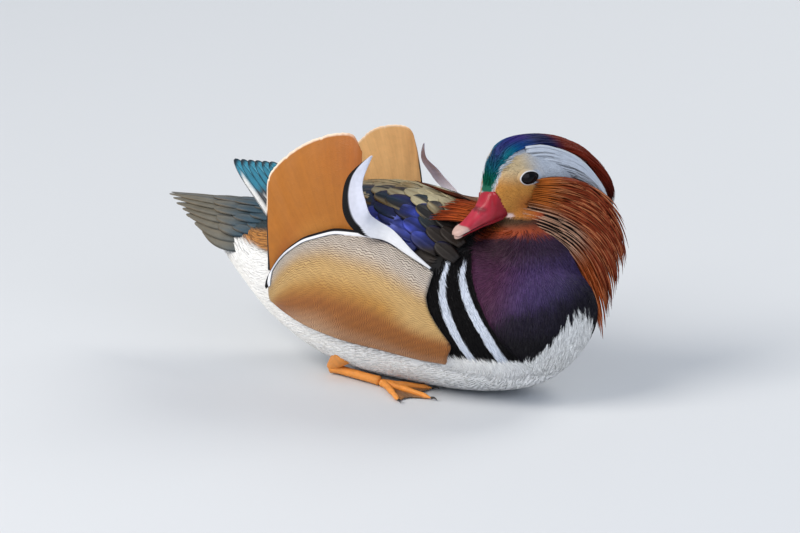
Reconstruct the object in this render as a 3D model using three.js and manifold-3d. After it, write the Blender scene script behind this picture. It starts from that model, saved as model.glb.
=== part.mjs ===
// A drake mandarin duck sitting on its belly, its head turned over its right side.
// Millimetres, +X towards the breast, +Y to the bird's left, +Z up, z = 0 under the belly.
import * as THREE from 'three';
import { mergeVertices } from 'three/addons/utils/BufferGeometryUtils.js';
import Module from 'manifold-3d';

const { MathUtils } = THREE;

const wasm = await Module();
wasm.setup();

// Driving sizes
const gap = 0.35;
const vaneThick = 0.8;

// Torso stations from breast to rump: x, back height, keel height, half width
const torsoStations = [
  [112.5, 51, 49, 0.4],
  [108, 66, 34, 20],
  [99, 75, 20, 32.5],
  [84, 82, 8, 43],
  [62, 88, 1.5, 49.5],
  [38, 97, -1.6, 53],
  [10, 104.5, -2, 54.5],
  [-20, 105, -1.2, 54],
  [-50, 99, 4, 49],
  [-78, 89, 17, 40.5],
  [-100, 81, 34, 31],
  [-120, 75, 53, 21],
  [-134, 70, 65, 0.4],
];
const torsoWaist = 0.45;
const torsoPower = 1.9;

// The head's own frame: its origin is where the culmen meets the forehead
const headOrigin = new THREE.Vector3(52, -8, 116);
const headYaw = MathUtils.degToRad(-112);
const napeBend = { start: 25, span: 50, shift: 18 };

// Head stations from face to nape: distance behind the culmen, crown, throat, half width
const headStations = [
  [-2.5, -5, -7, 0.4],
  [-0.5, 5, -13, 8],
  [3, 17, -15.5, 12],
  [8, 24.5, -18, 14],
  [16, 28, -21, 15],
  [27, 27.2, -24, 16],
  [38, 25, -24, 16.5],
  [47, 19, -19, 13.5],
  [53, 10, -9, 8],
  [55.5, 1, -1, 0.4],
];
const headPower = 2.1;

const eye = { back: 19.6, side: 10.4, up: 8.8, radius: 5.7, flatten: 0.8 };

// Bill stations from inside the face to the tip: distance ahead, culmen, cutting edge, half width
const billStations = [
  [-9, -4, -10.5, 0.4],
  [-7, -0.5, -11.6, 7],
  [0, 0.4, -13.6, 7.6],
  [5, -6.2, -15.2, 6.3],
  [10, -11.2, -16.9, 5.4],
  [15, -15.2, -18.5, 5],
  [19, -17.2, -19.9, 4.6],
  [21.5, -18.8, -21.2, 3],
  [22.6, -20.2, -20.8, 0.4],
];
const lowerBill = { deep: 3.4, shallow: 1.3, inset: 0.7 };

const neckStations = [
  [new THREE.Vector3(62, 8, 66), 37],
  [new THREE.Vector3(64, 9, 83), 30.5],
  [new THREE.Vector3(66, 13, 97), 24],
  [new THREE.Vector3(68, 17, 110), 17],
];

// Closed solids

function solidOf(geometry) {
  const bare = new THREE.BufferGeometry().setAttribute('position', geometry.attributes.position);
  bare.setIndex(geometry.index);
  const merged = mergeVertices(bare, 1e-3);
  const triVerts = [];
  const ids = merged.index.array;
  for (let i = 0; i < ids.length; i += 3) {
    const [a, b, c] = [ids[i], ids[i + 1], ids[i + 2]];
    if (a !== b && b !== c && c !== a) triVerts.push(a, b, c);
  }
  const build = (order) => new wasm.Manifold(new wasm.Mesh({
    numProp: 3,
    vertProperties: merged.attributes.position.array,
    triVerts: new Uint32Array(order),
  }));
  const solid = build(triVerts);
  return solid.volume() > 0 ? solid : build(triVerts.reverse());
}

function largest(solid) {
  const bodies = solid.decompose();
  return bodies.reduce((best, body) => (body.volume() > best.volume() ? body : best));
}

// A closed solid of rings, each point given by place(along, angle): along runs 0 to 1 from pole to pole.
function shapedSphere(around, rings, place) {
  const ball = new THREE.SphereGeometry(1, around, rings);
  const points = ball.attributes.position;
  const poles = [0, 1].map((along) => place(along, 0).lerp(place(along, Math.PI), 0.5));
  for (let i = 0; i < points.count; i++) {
    const ring = Math.floor(i / (around + 1));
    const turn = (i % (around + 1)) % around;
    const inside = ring > 0 && ring < rings;
    const p = inside ? place(ring / rings, (turn / around) * 2 * Math.PI) : poles[ring ? 1 : 0];
    points.setXYZ(i, p.x, p.y, p.z);
  }
  return solidOf(ball);
}

// A thin closed slab whose two faces, upper(u, v) and lower(u, v), are split into the same triangles.
function slab(columns, rows, upper, lower) {
  const sheet = new THREE.PlaneGeometry(1, 1, columns, rows);
  const grid = sheet.attributes.position;
  const count = grid.count;
  const points = [];
  for (const face of [upper, lower]) {
    for (let i = 0; i < count; i++) points.push(...face(grid.getX(i) + 0.5, grid.getY(i) + 0.5).toArray());
  }
  const ids = sheet.index.array;
  const triangles = [];
  for (let i = 0; i < ids.length; i += 3) {
    triangles.push(ids[i], ids[i + 1], ids[i + 2]);
    triangles.push(ids[i + 2] + count, ids[i + 1] + count, ids[i] + count);
  }
  const at = (column, row) => row * (columns + 1) + column;
  const rim = [];
  for (let c = 0; c < columns; c++) rim.push(at(c, rows));
  for (let r = rows; r > 0; r--) rim.push(at(columns, r));
  for (let c = columns; c > 0; c--) rim.push(at(c, 0));
  for (let r = 0; r < rows; r++) rim.push(at(0, r));
  rim.forEach((p, i) => {
    const q = rim[(i + 1) % rim.length];
    triangles.push(q, p, p + count, q, p + count, q + count);
  });
  const body = new THREE.BufferGeometry();
  body.setAttribute('position', new THREE.Float32BufferAttribute(points, 3));
  body.setIndex(triangles);
  return solidOf(body);
}

// Even spacing between 0 and 1, and a seeded scatter between -1 and 1
const even = (count, i) => (i + 0.5) / count;
const scatter = (seed) => 2 * MathUtils.seededRandom(Math.round(seed * 7919) + 17) - 1;

const pointed = (v) => (1 - v) ** 0.65;
const rounded = (v) => (0.7 + 0.3 * Math.min(1, 2.5 * v)) * Math.sqrt(Math.max(0, 1 - 0.98 * v ** 5));

// One flat feather or lock along a bent line. The vector face gives the side it shows.
function vane({ points, face, wide, thick, shape = rounded, rows = 2 }, grow = 0) {
  const line = new THREE.CatmullRomCurve3(points);
  const spaced = (v) => (shape === rounded ? Math.sin(v * Math.PI / 2) ** 0.9 : v);
  const at = (u, v, lift) => {
    const t = spaced(v);
    const tangent = line.getTangent(t);
    const across = tangent.clone().cross(face).normalize();
    const out = across.clone().cross(tangent).normalize();
    const half = (u - 0.5) * (wide * shape(t) + 2 * grow);
    const end = grow * (2 * v - 1);
    const p = line.getPoint(t).addScaledVector(tangent, end);
    return p.addScaledVector(across, half).addScaledVector(out, lift);
  };
  return slab(1, rows, (u, v) => at(u, v, thick / 2 + grow), (u, v) => at(u, v, -thick / 2 - grow));
}

const joined = (solids) => solids.reduce((all, one) => all.add(one));

// Interpolation through rows of numbers
function through(rows) {
  const columns = rows[0].length;
  const curves = [];
  for (let c = 1; c < columns; c++) {
    curves.push(new THREE.SplineCurve(rows.map((row) => new THREE.Vector2(row[0], row[c]))));
  }
  return (t) => {
    const found = curves.map((curve) => curve.getPoint(t));
    return [found[0].x, ...found.map((p) => p.y)];
  };
}

function superPoint(angle, power) {
  const bend = (value) => Math.sign(value) * Math.abs(value) ** (2 / power);
  return [bend(Math.sin(angle)), bend(Math.cos(angle))];
}

// A point on a surface of (along, angle), raised by lift along the surface's outward normal
function raised(surface, along, angle, lift) {
  const step = 1e-3;
  const p = surface(along, angle);
  if (lift === 0) return p;
  const a = surface(Math.min(along + step, 0.999), angle).sub(surface(Math.max(along - step, 0.001), angle));
  const b = surface(along, angle + step).sub(surface(along, angle - step));
  return p.addScaledVector(a.cross(b).normalize(), -lift);
}

// Torso

const torsoAtStation = through(torsoStations);

function torsoSurface(along, angle) {
  const [x, back, keel, halfWidth] = torsoAtStation(along);
  const waist = keel + torsoWaist * (back - keel);
  const [side, up] = superPoint(angle, torsoPower);
  return new THREE.Vector3(x, halfWidth * side, waist + up * (up > 0 ? back - waist : waist - keel));
}

function torsoPoint(x, angle, lift) {
  let [low, high] = [0, 1];
  for (let i = 0; i < 30; i++) {
    const middle = (low + high) / 2;
    if (torsoAtStation(middle)[0] > x) low = middle;
    else high = middle;
  }
  return raised(torsoSurface, low, angle, lift);
}

const torsoSolid = (grow) => shapedSphere(26, 23, (along, angle) => {
  const [, back, keel] = torsoAtStation(along);
  const grown = torsoSurface(along, angle);
  const centre = new THREE.Vector3(grown.x, 0, (back + keel) / 2);
  const out = grown.clone().sub(centre);
  const ends = along < 0.5 ? 1 : -1;
  const nose = grow * Math.abs(Math.cos(along * Math.PI)) * ends;
  return grown.add(out.setLength(grow)).add(new THREE.Vector3(nose, 0, 0));
});

// All that lies past the midline, so that the two wings keep apart
const midline = (side) => solidOf(new THREE.BoxGeometry(400, 100, 200).translate(0, side * -49.8, 100));

const floorCut = solidOf(new THREE.BoxGeometry(400, 300, 50).translate(0, 0, -25));

// Head

function fromHead(back, side, up) {
  const behind = Math.max(back - napeBend.start, 0) / napeBend.span;
  const p = new THREE.Vector3(-back, side + napeBend.shift * behind * behind, up);
  return p.applyAxisAngle(new THREE.Vector3(0, 0, 1), headYaw).add(headOrigin);
}

const headAtStation = through(headStations);

function headSurface(along, angle) {
  const [back, crown, throat, halfWidth] = headAtStation(along);
  const waist = (crown + throat) / 2;
  const [side, up] = superPoint(angle, headPower);
  return fromHead(back, halfWidth * side, waist + up * (crown - throat) / 2);
}

const headSolid = (grow) => shapedSphere(24, 20, (along, angle) => {
  const [back, crown, throat, halfWidth] = headAtStation(along);
  const waist = (crown + throat) / 2;
  const [side, up] = superPoint(angle, headPower);
  const nose = grow * Math.cos(along * Math.PI);
  return fromHead(back - nose, (halfWidth + grow) * side, waist + up * ((crown - throat) / 2 + grow));
});

const eyeBall = (side, grow) => {
  const ball = new THREE.SphereGeometry(eye.radius + grow, 12, 9);
  ball.translate(...fromHead(eye.back, side * eye.side, eye.up).toArray());
  return solidOf(ball);
};

// The lids: a low oval ring round each eye, in the plane of the cheek
const lids = (side) => {
  const ring = new THREE.TorusGeometry(eye.radius - 0.6, 1.2, 5, 14);
  ring.scale(1, eye.flatten, 1);
  ring.rotateX(Math.PI / 2);
  ring.rotateZ(headYaw);
  return solidOf(ring.translate(...fromHead(eye.back, side * 13.8, eye.up).toArray()));
};

// The long white feathers behind each eye, under the crest: offsets upward from one line
const browLine = [[36, 11, 16], [49, 12.5, 11.5], [57, 11, 2.5], [63, 9, -6], [67, 7.5, -12.5]];
const browOffsets = [4.5, 0.5, -3.5];

const browLocks = (side, grow) => joined(browOffsets.map((offset) => {
  const points = browLine.map(([back, out, up], i) => fromHead(back, side * out, up + offset * (1 - i / 5)));
  const face = fromHead(0, side, 0).sub(fromHead(0, 0, 0));
  return vane({ points, face, wide: 7, thick: 2.2, shape: pointed, rows: 3 }, grow);
}));

// Bill

const billAtStation = through(billStations);

const upperBillSolid = (grow) => shapedSphere(14, 13, (along, angle) => {
  const [ahead, culmen, edge, halfWidth] = billAtStation(along);
  const [side, up] = superPoint(angle, 2.2);
  const ridge = up > 0 ? up ** 1.3 : 0.12 * up;
  const high = edge + ridge * (culmen - edge + grow);
  const end = ahead + grow * MathUtils.clamp(6 * along - 2, -1, 1);
  return fromHead(-end, (halfWidth + grow) * side, high - (up > 0 ? 0 : grow));
});

const lowerBillSolid = (grow) => shapedSphere(10, 11, (along, angle) => {
  const [ahead, , edge, halfWidth] = billAtStation(along);
  const [side, up] = superPoint(angle, 2.2);
  const depth = MathUtils.lerp(lowerBill.deep, lowerBill.shallow, along);
  const drop = (depth + grow) * up * Math.min(1, 4 * Math.sin(along * Math.PI));
  const high = edge - 0.6 - gap + (up > 0 ? grow : drop);
  const end = ahead - lowerBill.inset + grow * Math.cos((1 - along) * Math.PI);
  return fromHead(-end, (Math.max(halfWidth - lowerBill.inset, 0.2) + grow) * side, high);
});

const nostril = (side) => {
  const slot = new THREE.SphereGeometry(1, 8, 6);
  slot.scale(1.9, 1, 1);
  slot.rotateY(0.6);
  slot.rotateZ(headYaw);
  return solidOf(slot.translate(...fromHead(-6, side * 3.4, -8.2).toArray()));
};

// Neck

const neckSolid = (grow) => shapedSphere(16, 10, (along, angle) => {
  const rows = neckStations.map(([p, radius]) => [p.x, p.y, p.z, radius]);
  const at = through(rows.map((row, i) => [i, ...row]))(along);
  const [, x, y, z, radius] = at;
  const round = Math.min(1, 3.2 * Math.sin(along * Math.PI)) * radius + grow;
  const end = z - grow * Math.cos(along * Math.PI);
  return new THREE.Vector3(x + round * Math.cos(angle), y + round * Math.sin(angle), end);
});

// Wings, sails, crescents and flanks, made on the right side (side = -1) and mirrored

const blend = MathUtils.lerp;
const deg = MathUtils.degToRad;

// Where the top of the flank runs: the angle round the torso at each x
const flankTop = through([
  [39, 47], [20, 45], [-5, 44], [-30, 45], [-50, 51], [-62, 61], [-71, 77], [-75, 95],
]);

function flankAngle(x) {
  let [low, high] = [0, 1];
  for (let i = 0; i < 30; i++) {
    const middle = (low + high) / 2;
    if (flankTop(middle)[0] > x) low = middle;
    else high = middle;
  }
  return flankTop(low)[1];
}

// A layer lying on the torso, from inner to outer, spread past its own edges by margin
const wingLayer = (side, inner, more, margin) => {
  const at = (u, v, face) => {
    const x = blend(44 + margin, -74 - margin, v);
    const angle = blend(3, Math.min(flankAngle(x) + 12, 62), u);
    const crown = Math.sin(Math.PI * Math.min(1, v + 0.15)) * Math.min(1, 4 * u);
    return torsoPoint(x, side * deg(angle), face ? 1.3 + 1.2 * crown + more : inner);
  };
  return slab(6, 8, (u, v) => at(u, v, 1), (u, v) => at(u, v, 0));
};

// Rows of feathers on the back: where a row starts, how far it is from the midline, and its feathers' size
const backRows = [
  { from: 32, every: -22, count: 2, angle: 12, turn: -3, long: 36, wide: 18 },
  { from: 38, every: -14, count: 3, angle: 25, turn: -2, long: 25, wide: 15 },
  { from: 35, every: -13, count: 3, angle: 37, turn: -2, long: 21, wide: 12 },
  { from: -26, every: -20, count: 2, angle: 14, turn: -2, long: 32, wide: 17 },
  { from: -22, every: -20, count: 2, angle: 29, turn: -2, long: 30, wide: 15 },
];

const rowFeather = (side, grow, row, i) => {
  const x = row.from + i * row.every;
  const turned = (part) => side * deg(row.angle + part * row.turn);
  const bend = (part, lift) => torsoPoint(x - part * row.long, turned(part), lift);
  const face = bend(0.5, 4).sub(bend(0.5, 0)).normalize();
  const points = [bend(0, 1.8), bend(0.5, 3.2), bend(1, 3.4)];
  return vane({ points, face, wide: row.wide, thick: 1 }, grow);
};

const backFeathers = (side, grow) => joined(backRows.flatMap(
  (row) => Array.from({ length: row.count }, (_, i) => rowFeather(side, grow, row, i)),
));

// The folded primaries, rising behind the sail: root and tip of the longest and of the innermost
const primaries = {
  count: 5,
  wide: 10,
  roots: [[-54, 41, 68], [-48, 33, 86]],
  tips: [[-119, 9, 108.5], [-84, 23, 115.5]],
  sunk: { x: 12, z: 8 },
};

const primaryFeathers = (side, grow) => joined(Array.from({ length: primaries.count }, (_, i) => {
  const inner = i / (primaries.count - 1);
  const between = (ends) => {
    const [from, to] = ends.map((p) => new THREE.Vector3(...p));
    return from.lerp(to, inner);
  };
  const root = between(primaries.roots);
  const tip = between(primaries.tips);
  if (side > 0) tip.add(new THREE.Vector3(primaries.sunk.x * (1 - inner), 0, -primaries.sunk.z));
  const face = new THREE.Vector3(-0.25, 1, 0.1);
  const points = [0, 0.5, 1].map((part) => {
    const p = root.clone().lerp(tip, part).addScaledVector(face, 0.35 * i - 0.7);
    p.z += 3 * Math.sin(part * Math.PI);
    return new THREE.Vector3(p.x, p.y * side, p.z);
  });
  const outward = new THREE.Vector3(face.x, face.y * side, face.z).normalize();
  return vane({ points, face: outward, wide: primaries.wide, thick: 1.1 }, grow);
}));

// Each sail's upper edge: x and height from the front corner round to the rear corner.
// The left sail stands lower than the right one, and its front edge is steeper.
const sailEdges = {
  left: through([
    [-21, 127], [-24.5, 134.2], [-37, 133.6], [-49, 129], [-60, 120], [-71, 107], [-72.5, 88], [-71, 59],
  ]),
  right: through([
    [-19, 133], [-27, 141.5], [-42, 139.5], [-59.5, 131], [-73, 119.5], [-79, 108.5], [-77, 88], [-73.5, 59],
  ]),
};
const sailFront = { left: -17, right: -12 };
const sailLean = { low: 45, high: 25, from: 50, to: 141 };

const sailSheet = (side, inner, outer) => {
  const half = side > 0 ? 'left' : 'right';
  const at = (u, v, lift) => {
    const x = blend(sailFront[half], -70, u);
    const root = torsoPoint(x, side * deg(flankAngle(x) + 8), -2);
    const [edgeX, edgeZ] = sailEdges[half](u);
    const lean = (edgeZ - sailLean.from) / (sailLean.to - sailLean.from);
    const edgeY = side * blend(sailLean.low, sailLean.high, lean ** 1.5);
    const edge = new THREE.Vector3(edgeX, edgeY, edgeZ);
    const middle = root.clone().lerp(edge, 0.45);
    middle.y = blend(root.y, edge.y, 0.12) + side * 3;
    const p = new THREE.QuadraticBezierCurve3(root, middle, edge).getPoint(v);
    return p.add(new THREE.Vector3(0, side * lift, 0.25 * lift));
  };
  return slab(11, 5, (u, v) => at(u, v, outer), (u, v) => at(u, v, inner));
};

// The crescent: a black-edged scapular and a white one over it, along one line.
// The left one is narrower, and is held lower by a share of its height over the back.
const leftCrescent = { wide: 0.65, backHeight: 60, lowered: 0.11 };
const crescentFree = [[-5, 46.5, 98.5], [-12, 45.5, 109], [-16, 39, 120], [-13, 30, 131.5]];
const crescentLine = new THREE.CatmullRomCurve3([
  ...[38, 22, 5].map((x) => torsoPoint(x, deg(flankAngle(x) - 2.5), 4.6)),
  ...crescentFree.map((p) => new THREE.Vector3(...p)),
]);
const crescentWidth = through([[0, 1.6], [0.2, 6], [0.4, 14], [0.6, 18], [0.8, 12], [1, 1.2]]);
const crescentVanes = [
  { low: 0.06, high: 1, inner: 0, outer: 0.8 },
  { low: 0, high: 0.68, inner: 0.3, outer: 1.4 },
];

const crescentSolid = (side) => joined(crescentVanes.map(({ low, high, inner, outer }) => {
  const at = (u, v, lift) => {
    const p = crescentLine.getPoint(v);
    const tangent = crescentLine.getTangent(v);
    const out = new THREE.Vector3(0, 1, 0.55 * (1 - v));
    const across = out.clone().cross(tangent).normalize();
    const part = blend(low, high, u) - 0.5;
    const wide = crescentWidth(v)[1] * (side > 0 ? leftCrescent.wide : 1);
    p.addScaledVector(across, -part * wide).addScaledVector(out.normalize(), lift);
    if (side > 0) p.z -= (p.z - leftCrescent.backHeight) * leftCrescent.lowered;
    return new THREE.Vector3(p.x, p.y * side, p.z);
  };
  return slab(2, 8, (u, v) => at(u, v, outer), (u, v) => at(u, v, inner));
}));

// The flank: a pad of feathers from below the waterline up to the wing
const flank = { front: 38, rear: -70, low: 112, tilt: 20, tiltFrom: 0.22, tiltTo: 0.8 };

const flankLayer = (side, inner, more, margin) => {
  const at = (u, v, face) => {
    const x0 = blend(flank.front + margin, flank.rear - margin, v);
    const top = flankAngle(x0) - 0.9 * margin;
    const low = blend(flank.low, 100, v ** 3) + margin;
    const angle = blend(top, low, u);
    const tilt = flank.tilt * MathUtils.smoothstep(u, flank.tiltFrom, flank.tiltTo);
    const x = x0 + tilt * (1 - v) ** 1.5;
    const round = Math.sin(Math.PI * MathUtils.clamp(u, 0.04, 0.96));
    const rim = round * Math.sin(Math.PI * MathUtils.clamp(v, 0.03, 0.97));
    return torsoPoint(x, side * deg(angle), face ? 1.6 + 3.4 * rim ** 0.5 + more : inner);
  };
  return slab(8, 12, (u, v) => at(u, v, 1), (u, v) => at(u, v, 0));
};

// Ruffs: three lines of points in the head's frame (behind, side, up), along root, middle and tips
const ruffLeft = {
  root: [[26, 17, 8], [21, 16.5, -6], [15, 13, -17]],
  middle: [[52, 22, 0], [50, 25, -22], [42, 24.5, -37]],
  tip: [[71, 16, -27], [66, 20, -51], [57, 24, -75]],
};
const ruffRight = {
  root: [[27, -17, 2], [21, -17.5, -7], [12, -17, -12]],
  middle: [[52, -20, -10], [36, -34, -17], [6, -32, -11]],
  tip: [[74, -16, -33], [40, -46, -26], [-6, -49, -6.5]],
};

// A parabola through a, b and c at t = 0, 0.5 and 1
const quadratic = (a, b, c, t) => a * (1 - t) * (1 - 2 * t) + b * 4 * t * (1 - t) + c * t * (2 * t - 1);

function ruffPoint(ruff, fan, along) {
  const line = (points) => [0, 1, 2].map((k) => quadratic(points[0][k], points[1][k], points[2][k], fan));
  const [a, b, c] = [line(ruff.root), line(ruff.middle), line(ruff.tip)];
  return fromHead(...[0, 1, 2].map((k) => quadratic(a[k], b[k], c[k], along)));
}

// Three tiers of locks on a thin core, each tier longer and lower than the one over it
const ruffCore = 0.48;
const ruffTiers = [
  { count: 7, start: 0.38, end: 1.03, lift: 0, wide: 12 },
  { count: 5, start: 0.2, end: 0.82, lift: 1.2, wide: 12 },
  { count: 4, start: 0.04, end: 0.58, lift: 2.2, wide: 12 },
];

const ruffSolid = (ruff, side) => {
  const out = new THREE.Vector3(0, side, 0.15).applyAxisAngle(new THREE.Vector3(0, 0, 1), headYaw);
  const at = (fan, along, lift) => ruffPoint(ruff, fan, along).addScaledVector(out, lift);
  const core = slab(4, 3,
    (u, v) => at(u, ruffCore * v, 1.7 - v),
    (u, v) => at(u, ruffCore * v, -0.9 + 0.5 * v));
  const locks = ruffTiers.flatMap((tier) => Array.from({ length: tier.count }, (_, i) => {
    const fan = even(tier.count, i);
    const end = tier.end + 0.06 * scatter(fan + tier.start);
    const flare = fan + 0.05 * scatter(fan + tier.end);
    const points = [0, 0.5, 1].map((part) => {
      const bulge = tier.lift * (1 - 0.6 * part) + 1.2 * Math.sin(Math.PI * part);
      return at(blend(fan, flare, part), blend(tier.start, end, part), bulge);
    });
    return vane({ points, face: out, wide: tier.wide, thick: 1.1, shape: pointed });
  }));
  return joined([core, ...locks]);
};

// Crest: a band over the crown that droops behind the nape
const crestLine = through([
  [2, 17.5, 9.5], [7, 25.5, 11], [17, 29.6, 12], [30, 29.6, 12], [44, 26, 11],
  [56, 20.5, 9], [65, 12, 7], [71, 2.5, 5.5], [73.5, -7, 4], [72.5, -17, 1],
]);

// Its long feathers lie over the nape, past a core on the crown
const crestLocks = { count: 6, core: 0.5, start: 0.36, spread: 0.85, wide: 7.5 };

const crestCap = () => {
  const at = (u, v, face) => {
    const part = crestLocks.core * v;
    const [back, top, half] = crestLine(part);
    const turn = (u - 0.5) * 2;
    const slope = crestLine(part + 0.02);
    const before = crestLine(Math.max(0, part - 0.02));
    const along = new THREE.Vector2(slope[0] - before[0], slope[1] - before[1]).normalize();
    const deep = 0.8 + 4.5 * Math.sin(Math.PI * Math.min(0.95, part * 0.7 + 0.25));
    const drop = 5 * turn * turn * (half / 12) + (face ? 0 : deep);
    return fromHead(back + drop * along.y, half * turn, top - drop * along.x);
  };
  return slab(6, 6, (u, v) => at(u, v, 1), (u, v) => at(u, v, 0));
};

const crestSolid = () => {
  const locks = Array.from({ length: crestLocks.count }, (_, i) => {
    const turn = (2 * even(crestLocks.count, i) - 1) * crestLocks.spread;
    const end = 1 - 0.13 * Math.abs(turn) + 0.03 * scatter(turn);
    const points = [0, 0.25, 0.5, 0.75, 1].map((part) => {
      const [back, top, half] = crestLine(blend(crestLocks.start, end, part));
      const sunk = (4 * turn * turn + 1.3) * (1 - part);
      return fromHead(back - 0.8, turn * half * (1 - 0.4 * part), top - sunk);
    });
    const face = fromHead(1, 0, 0.9).sub(fromHead(0, 0, 0));
    return vane({ points, face, wide: crestLocks.wide, thick: 1.5, shape: pointed, rows: 3 });
  });
  return joined([crestCap(), ...locks]);
};

// Tail

const tail = {
  root: -98, length: 72, wedge: 0.6, ridge: 83.5, lift: -4.5, drop: 19, feathers: 9, coverts: 3,
};

const tailPoint = (fan, v, lift) => {
  const length = tail.length * (1 - tail.wedge * Math.abs(fan) ** 1.3);
  const spread = blend(23, 31, Math.sin(v * 2.2)) * (1 - 0.25 * v);
  const drop = tail.drop * Math.abs(fan) ** 1.7 * (1 - 0.35 * v);
  return new THREE.Vector3(tail.root - v * length, fan * spread, tail.ridge + tail.lift * v - drop + lift);
};

const tailSolid = () => {
  const base = slab(8, 3,
    (u, v) => tailPoint(1.8 * u - 0.9, 0.5 * v, 0.9),
    (u, v) => tailPoint(1.8 * u - 0.9, 0.5 * v, -1.2));
  const feather = (fan, from, to, lift, wide) => {
    const points = [0, 0.5, 1].map((part) => {
      const sunk = 2.4 * (1 - part) ** 3;
      return tailPoint(fan * (1 - 0.06 * part), blend(from, to, part), lift * (1 - 0.5 * part) - sunk);
    });
    return vane({ points, face: new THREE.Vector3(0, fan, 1.3), wide, thick: 1.1 });
  };
  const rectrices = Array.from({ length: tail.feathers }, (_, i) => {
    const fan = 2 * even(tail.feathers, i) - 1;
    return feather(fan, 0.25, 1, 1.3 - 1.8 * Math.abs(fan), 12.5);
  });
  const coverts = Array.from({ length: tail.coverts }, (_, i) => {
    const fan = 1.2 * (even(tail.coverts, i) - 0.5);
    return feather(fan, 0.02, 0.45, 2.4, 15);
  });
  return joined([base, ...rectrices, ...coverts]);
};

// Legs and feet, folded beside the keel

const leg = { heel: new THREE.Vector3(-42, 25, 3.6), ankle: new THREE.Vector3(-4, 31, 3.1), shank: 2.7 };

const tube = (from, to, radiusFrom, radiusTo) => {
  const along = to.clone().sub(from);
  const shaft = new THREE.CylinderGeometry(radiusTo, radiusFrom, along.length(), 8, 1);
  shaft.translate(0, along.length() / 2, 0);
  const up = new THREE.Vector3(0, 1, 0);
  shaft.applyQuaternion(new THREE.Quaternion().setFromUnitVectors(up, along.normalize()));
  return solidOf(shaft.translate(...from.toArray()));
};

const ball = (centre, radius) => {
  const round = new THREE.SphereGeometry(radius, 8, 6);
  return solidOf(round.translate(...centre.toArray()));
};

const mirrored = (p, side) => new THREE.Vector3(p.x, p.y * side, p.z);

const legSolid = (side) => {
  const heel = mirrored(leg.heel, side);
  const ankle = mirrored(leg.ankle, side);
  const knee = mirrored(new THREE.Vector3(-28, 30, 16), side);
  return tube(heel, ankle, leg.shank, leg.shank - 0.3)
    .add(ball(heel, leg.shank + 0.6))
    .add(tube(heel, knee, leg.shank + 0.4, 8));
};

// Each toe: its angle from straight ahead, outward, and its length
const toes = [[-0.38, 30], [0.18, 40], [0.72, 34]];

const footSolid = (side) => {
  const root = mirrored(new THREE.Vector3(leg.ankle.x + 2.8, leg.ankle.y + 0.4, 2.1), side);
  const tips = toes.map(([turn, length]) => {
    const angle = side * turn;
    return root.clone().add(new THREE.Vector3(length * Math.cos(angle), length * Math.sin(angle), -0.9));
  });
  let foot = ball(root, 2.6);
  for (const tip of tips) foot = foot.add(tube(root, tip, 2.2, 1));
  const web = slab(4, 4,
    (u, v) => webPoint(root, tips, u, v, 1.9),
    (u, v) => webPoint(root, tips, u, v, 0.2));
  return foot.add(web);
};

function webPoint(root, tips, u, v, height) {
  const pair = u < 0.5 ? [tips[0], tips[1], u * 2] : [tips[1], tips[2], u * 2 - 1];
  const end = pair[0].clone().lerp(pair[1], pair[2]);
  const scallop = 1 - 0.16 * Math.sin(Math.PI * pair[2]);
  const p = root.clone().lerp(end, 0.02 + 0.9 * v * scallop);
  return new THREE.Vector3(p.x, p.y, height);
}

// Assembly

const duck = new THREE.Group();

const finish = (color, roughness = 0.7) => new THREE.MeshStandardMaterial({ color, roughness });

function addNode(name, solid, material) {
  const { vertProperties, triVerts } = largest(solid).getMesh();
  const geometry = new THREE.BufferGeometry();
  geometry.setAttribute('position', new THREE.BufferAttribute(vertProperties, 3));
  geometry.setIndex(new THREE.BufferAttribute(triVerts, 1));
  geometry.computeVertexNormals();
  const mesh = new THREE.Mesh(geometry, material);
  mesh.name = name;
  duck.add(mesh);
}

const torso = torsoSolid(0).subtract(floorCut);
const torsoRoom = torsoSolid(gap + 0.1);
const neckRoom = neckSolid(gap + 0.4);
const headRoom = headSolid(gap + 0.1);
const browRoom = joined([1, -1].map((side) => browLocks(side, gap)));
const billRoom = upperBillSolid(gap + 0.5).add(lowerBillSolid(gap + 0.7));

addNode('torso', torso, finish(0x5a2f4a));
const neck = neckSolid(0).subtract(torsoRoom).subtract(headRoom).subtract(billRoom);
addNode('neck', neck, finish(0x8a4a22));

let head = headSolid(0).subtract(torsoRoom);
for (const side of [1, -1]) head = head.add(lids(side)).add(browLocks(side)).subtract(eyeBall(side, gap));
head = head.subtract(billRoom);
addNode('head', head, finish(0xe8e2d2));
for (const [name, side] of [['eye_left', 1], ['eye_right', -1]]) {
  addNode(name, eyeBall(side, 0), finish(0x120a06, 0.1));
}
const upperBill = upperBillSolid(0).subtract(nostril(1)).subtract(nostril(-1));
addNode('bill_upper', upperBill, finish(0xc92b3f, 0.4));
addNode('bill_lower', lowerBillSolid(0).subtract(upperBillSolid(gap)), finish(0xb8434a, 0.4));
addNode('crest', crestSolid().subtract(headRoom).subtract(browRoom), finish(0x1f5a52, 0.4));
for (const [name, ruff, side] of [['ruff_left', ruffLeft, 1], ['ruff_right', ruffRight, -1]]) {
  const wings = [1, -1].flatMap((half) => [wingLayer(half, 0, gap, 0.6), backFeathers(half, gap)]);
  const others = joined([headRoom, browRoom, neckRoom, torsoRoom, ...wings]);
  addNode(name, ruffSolid(ruff, side).subtract(others), finish(0xa5521f));
}
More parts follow.
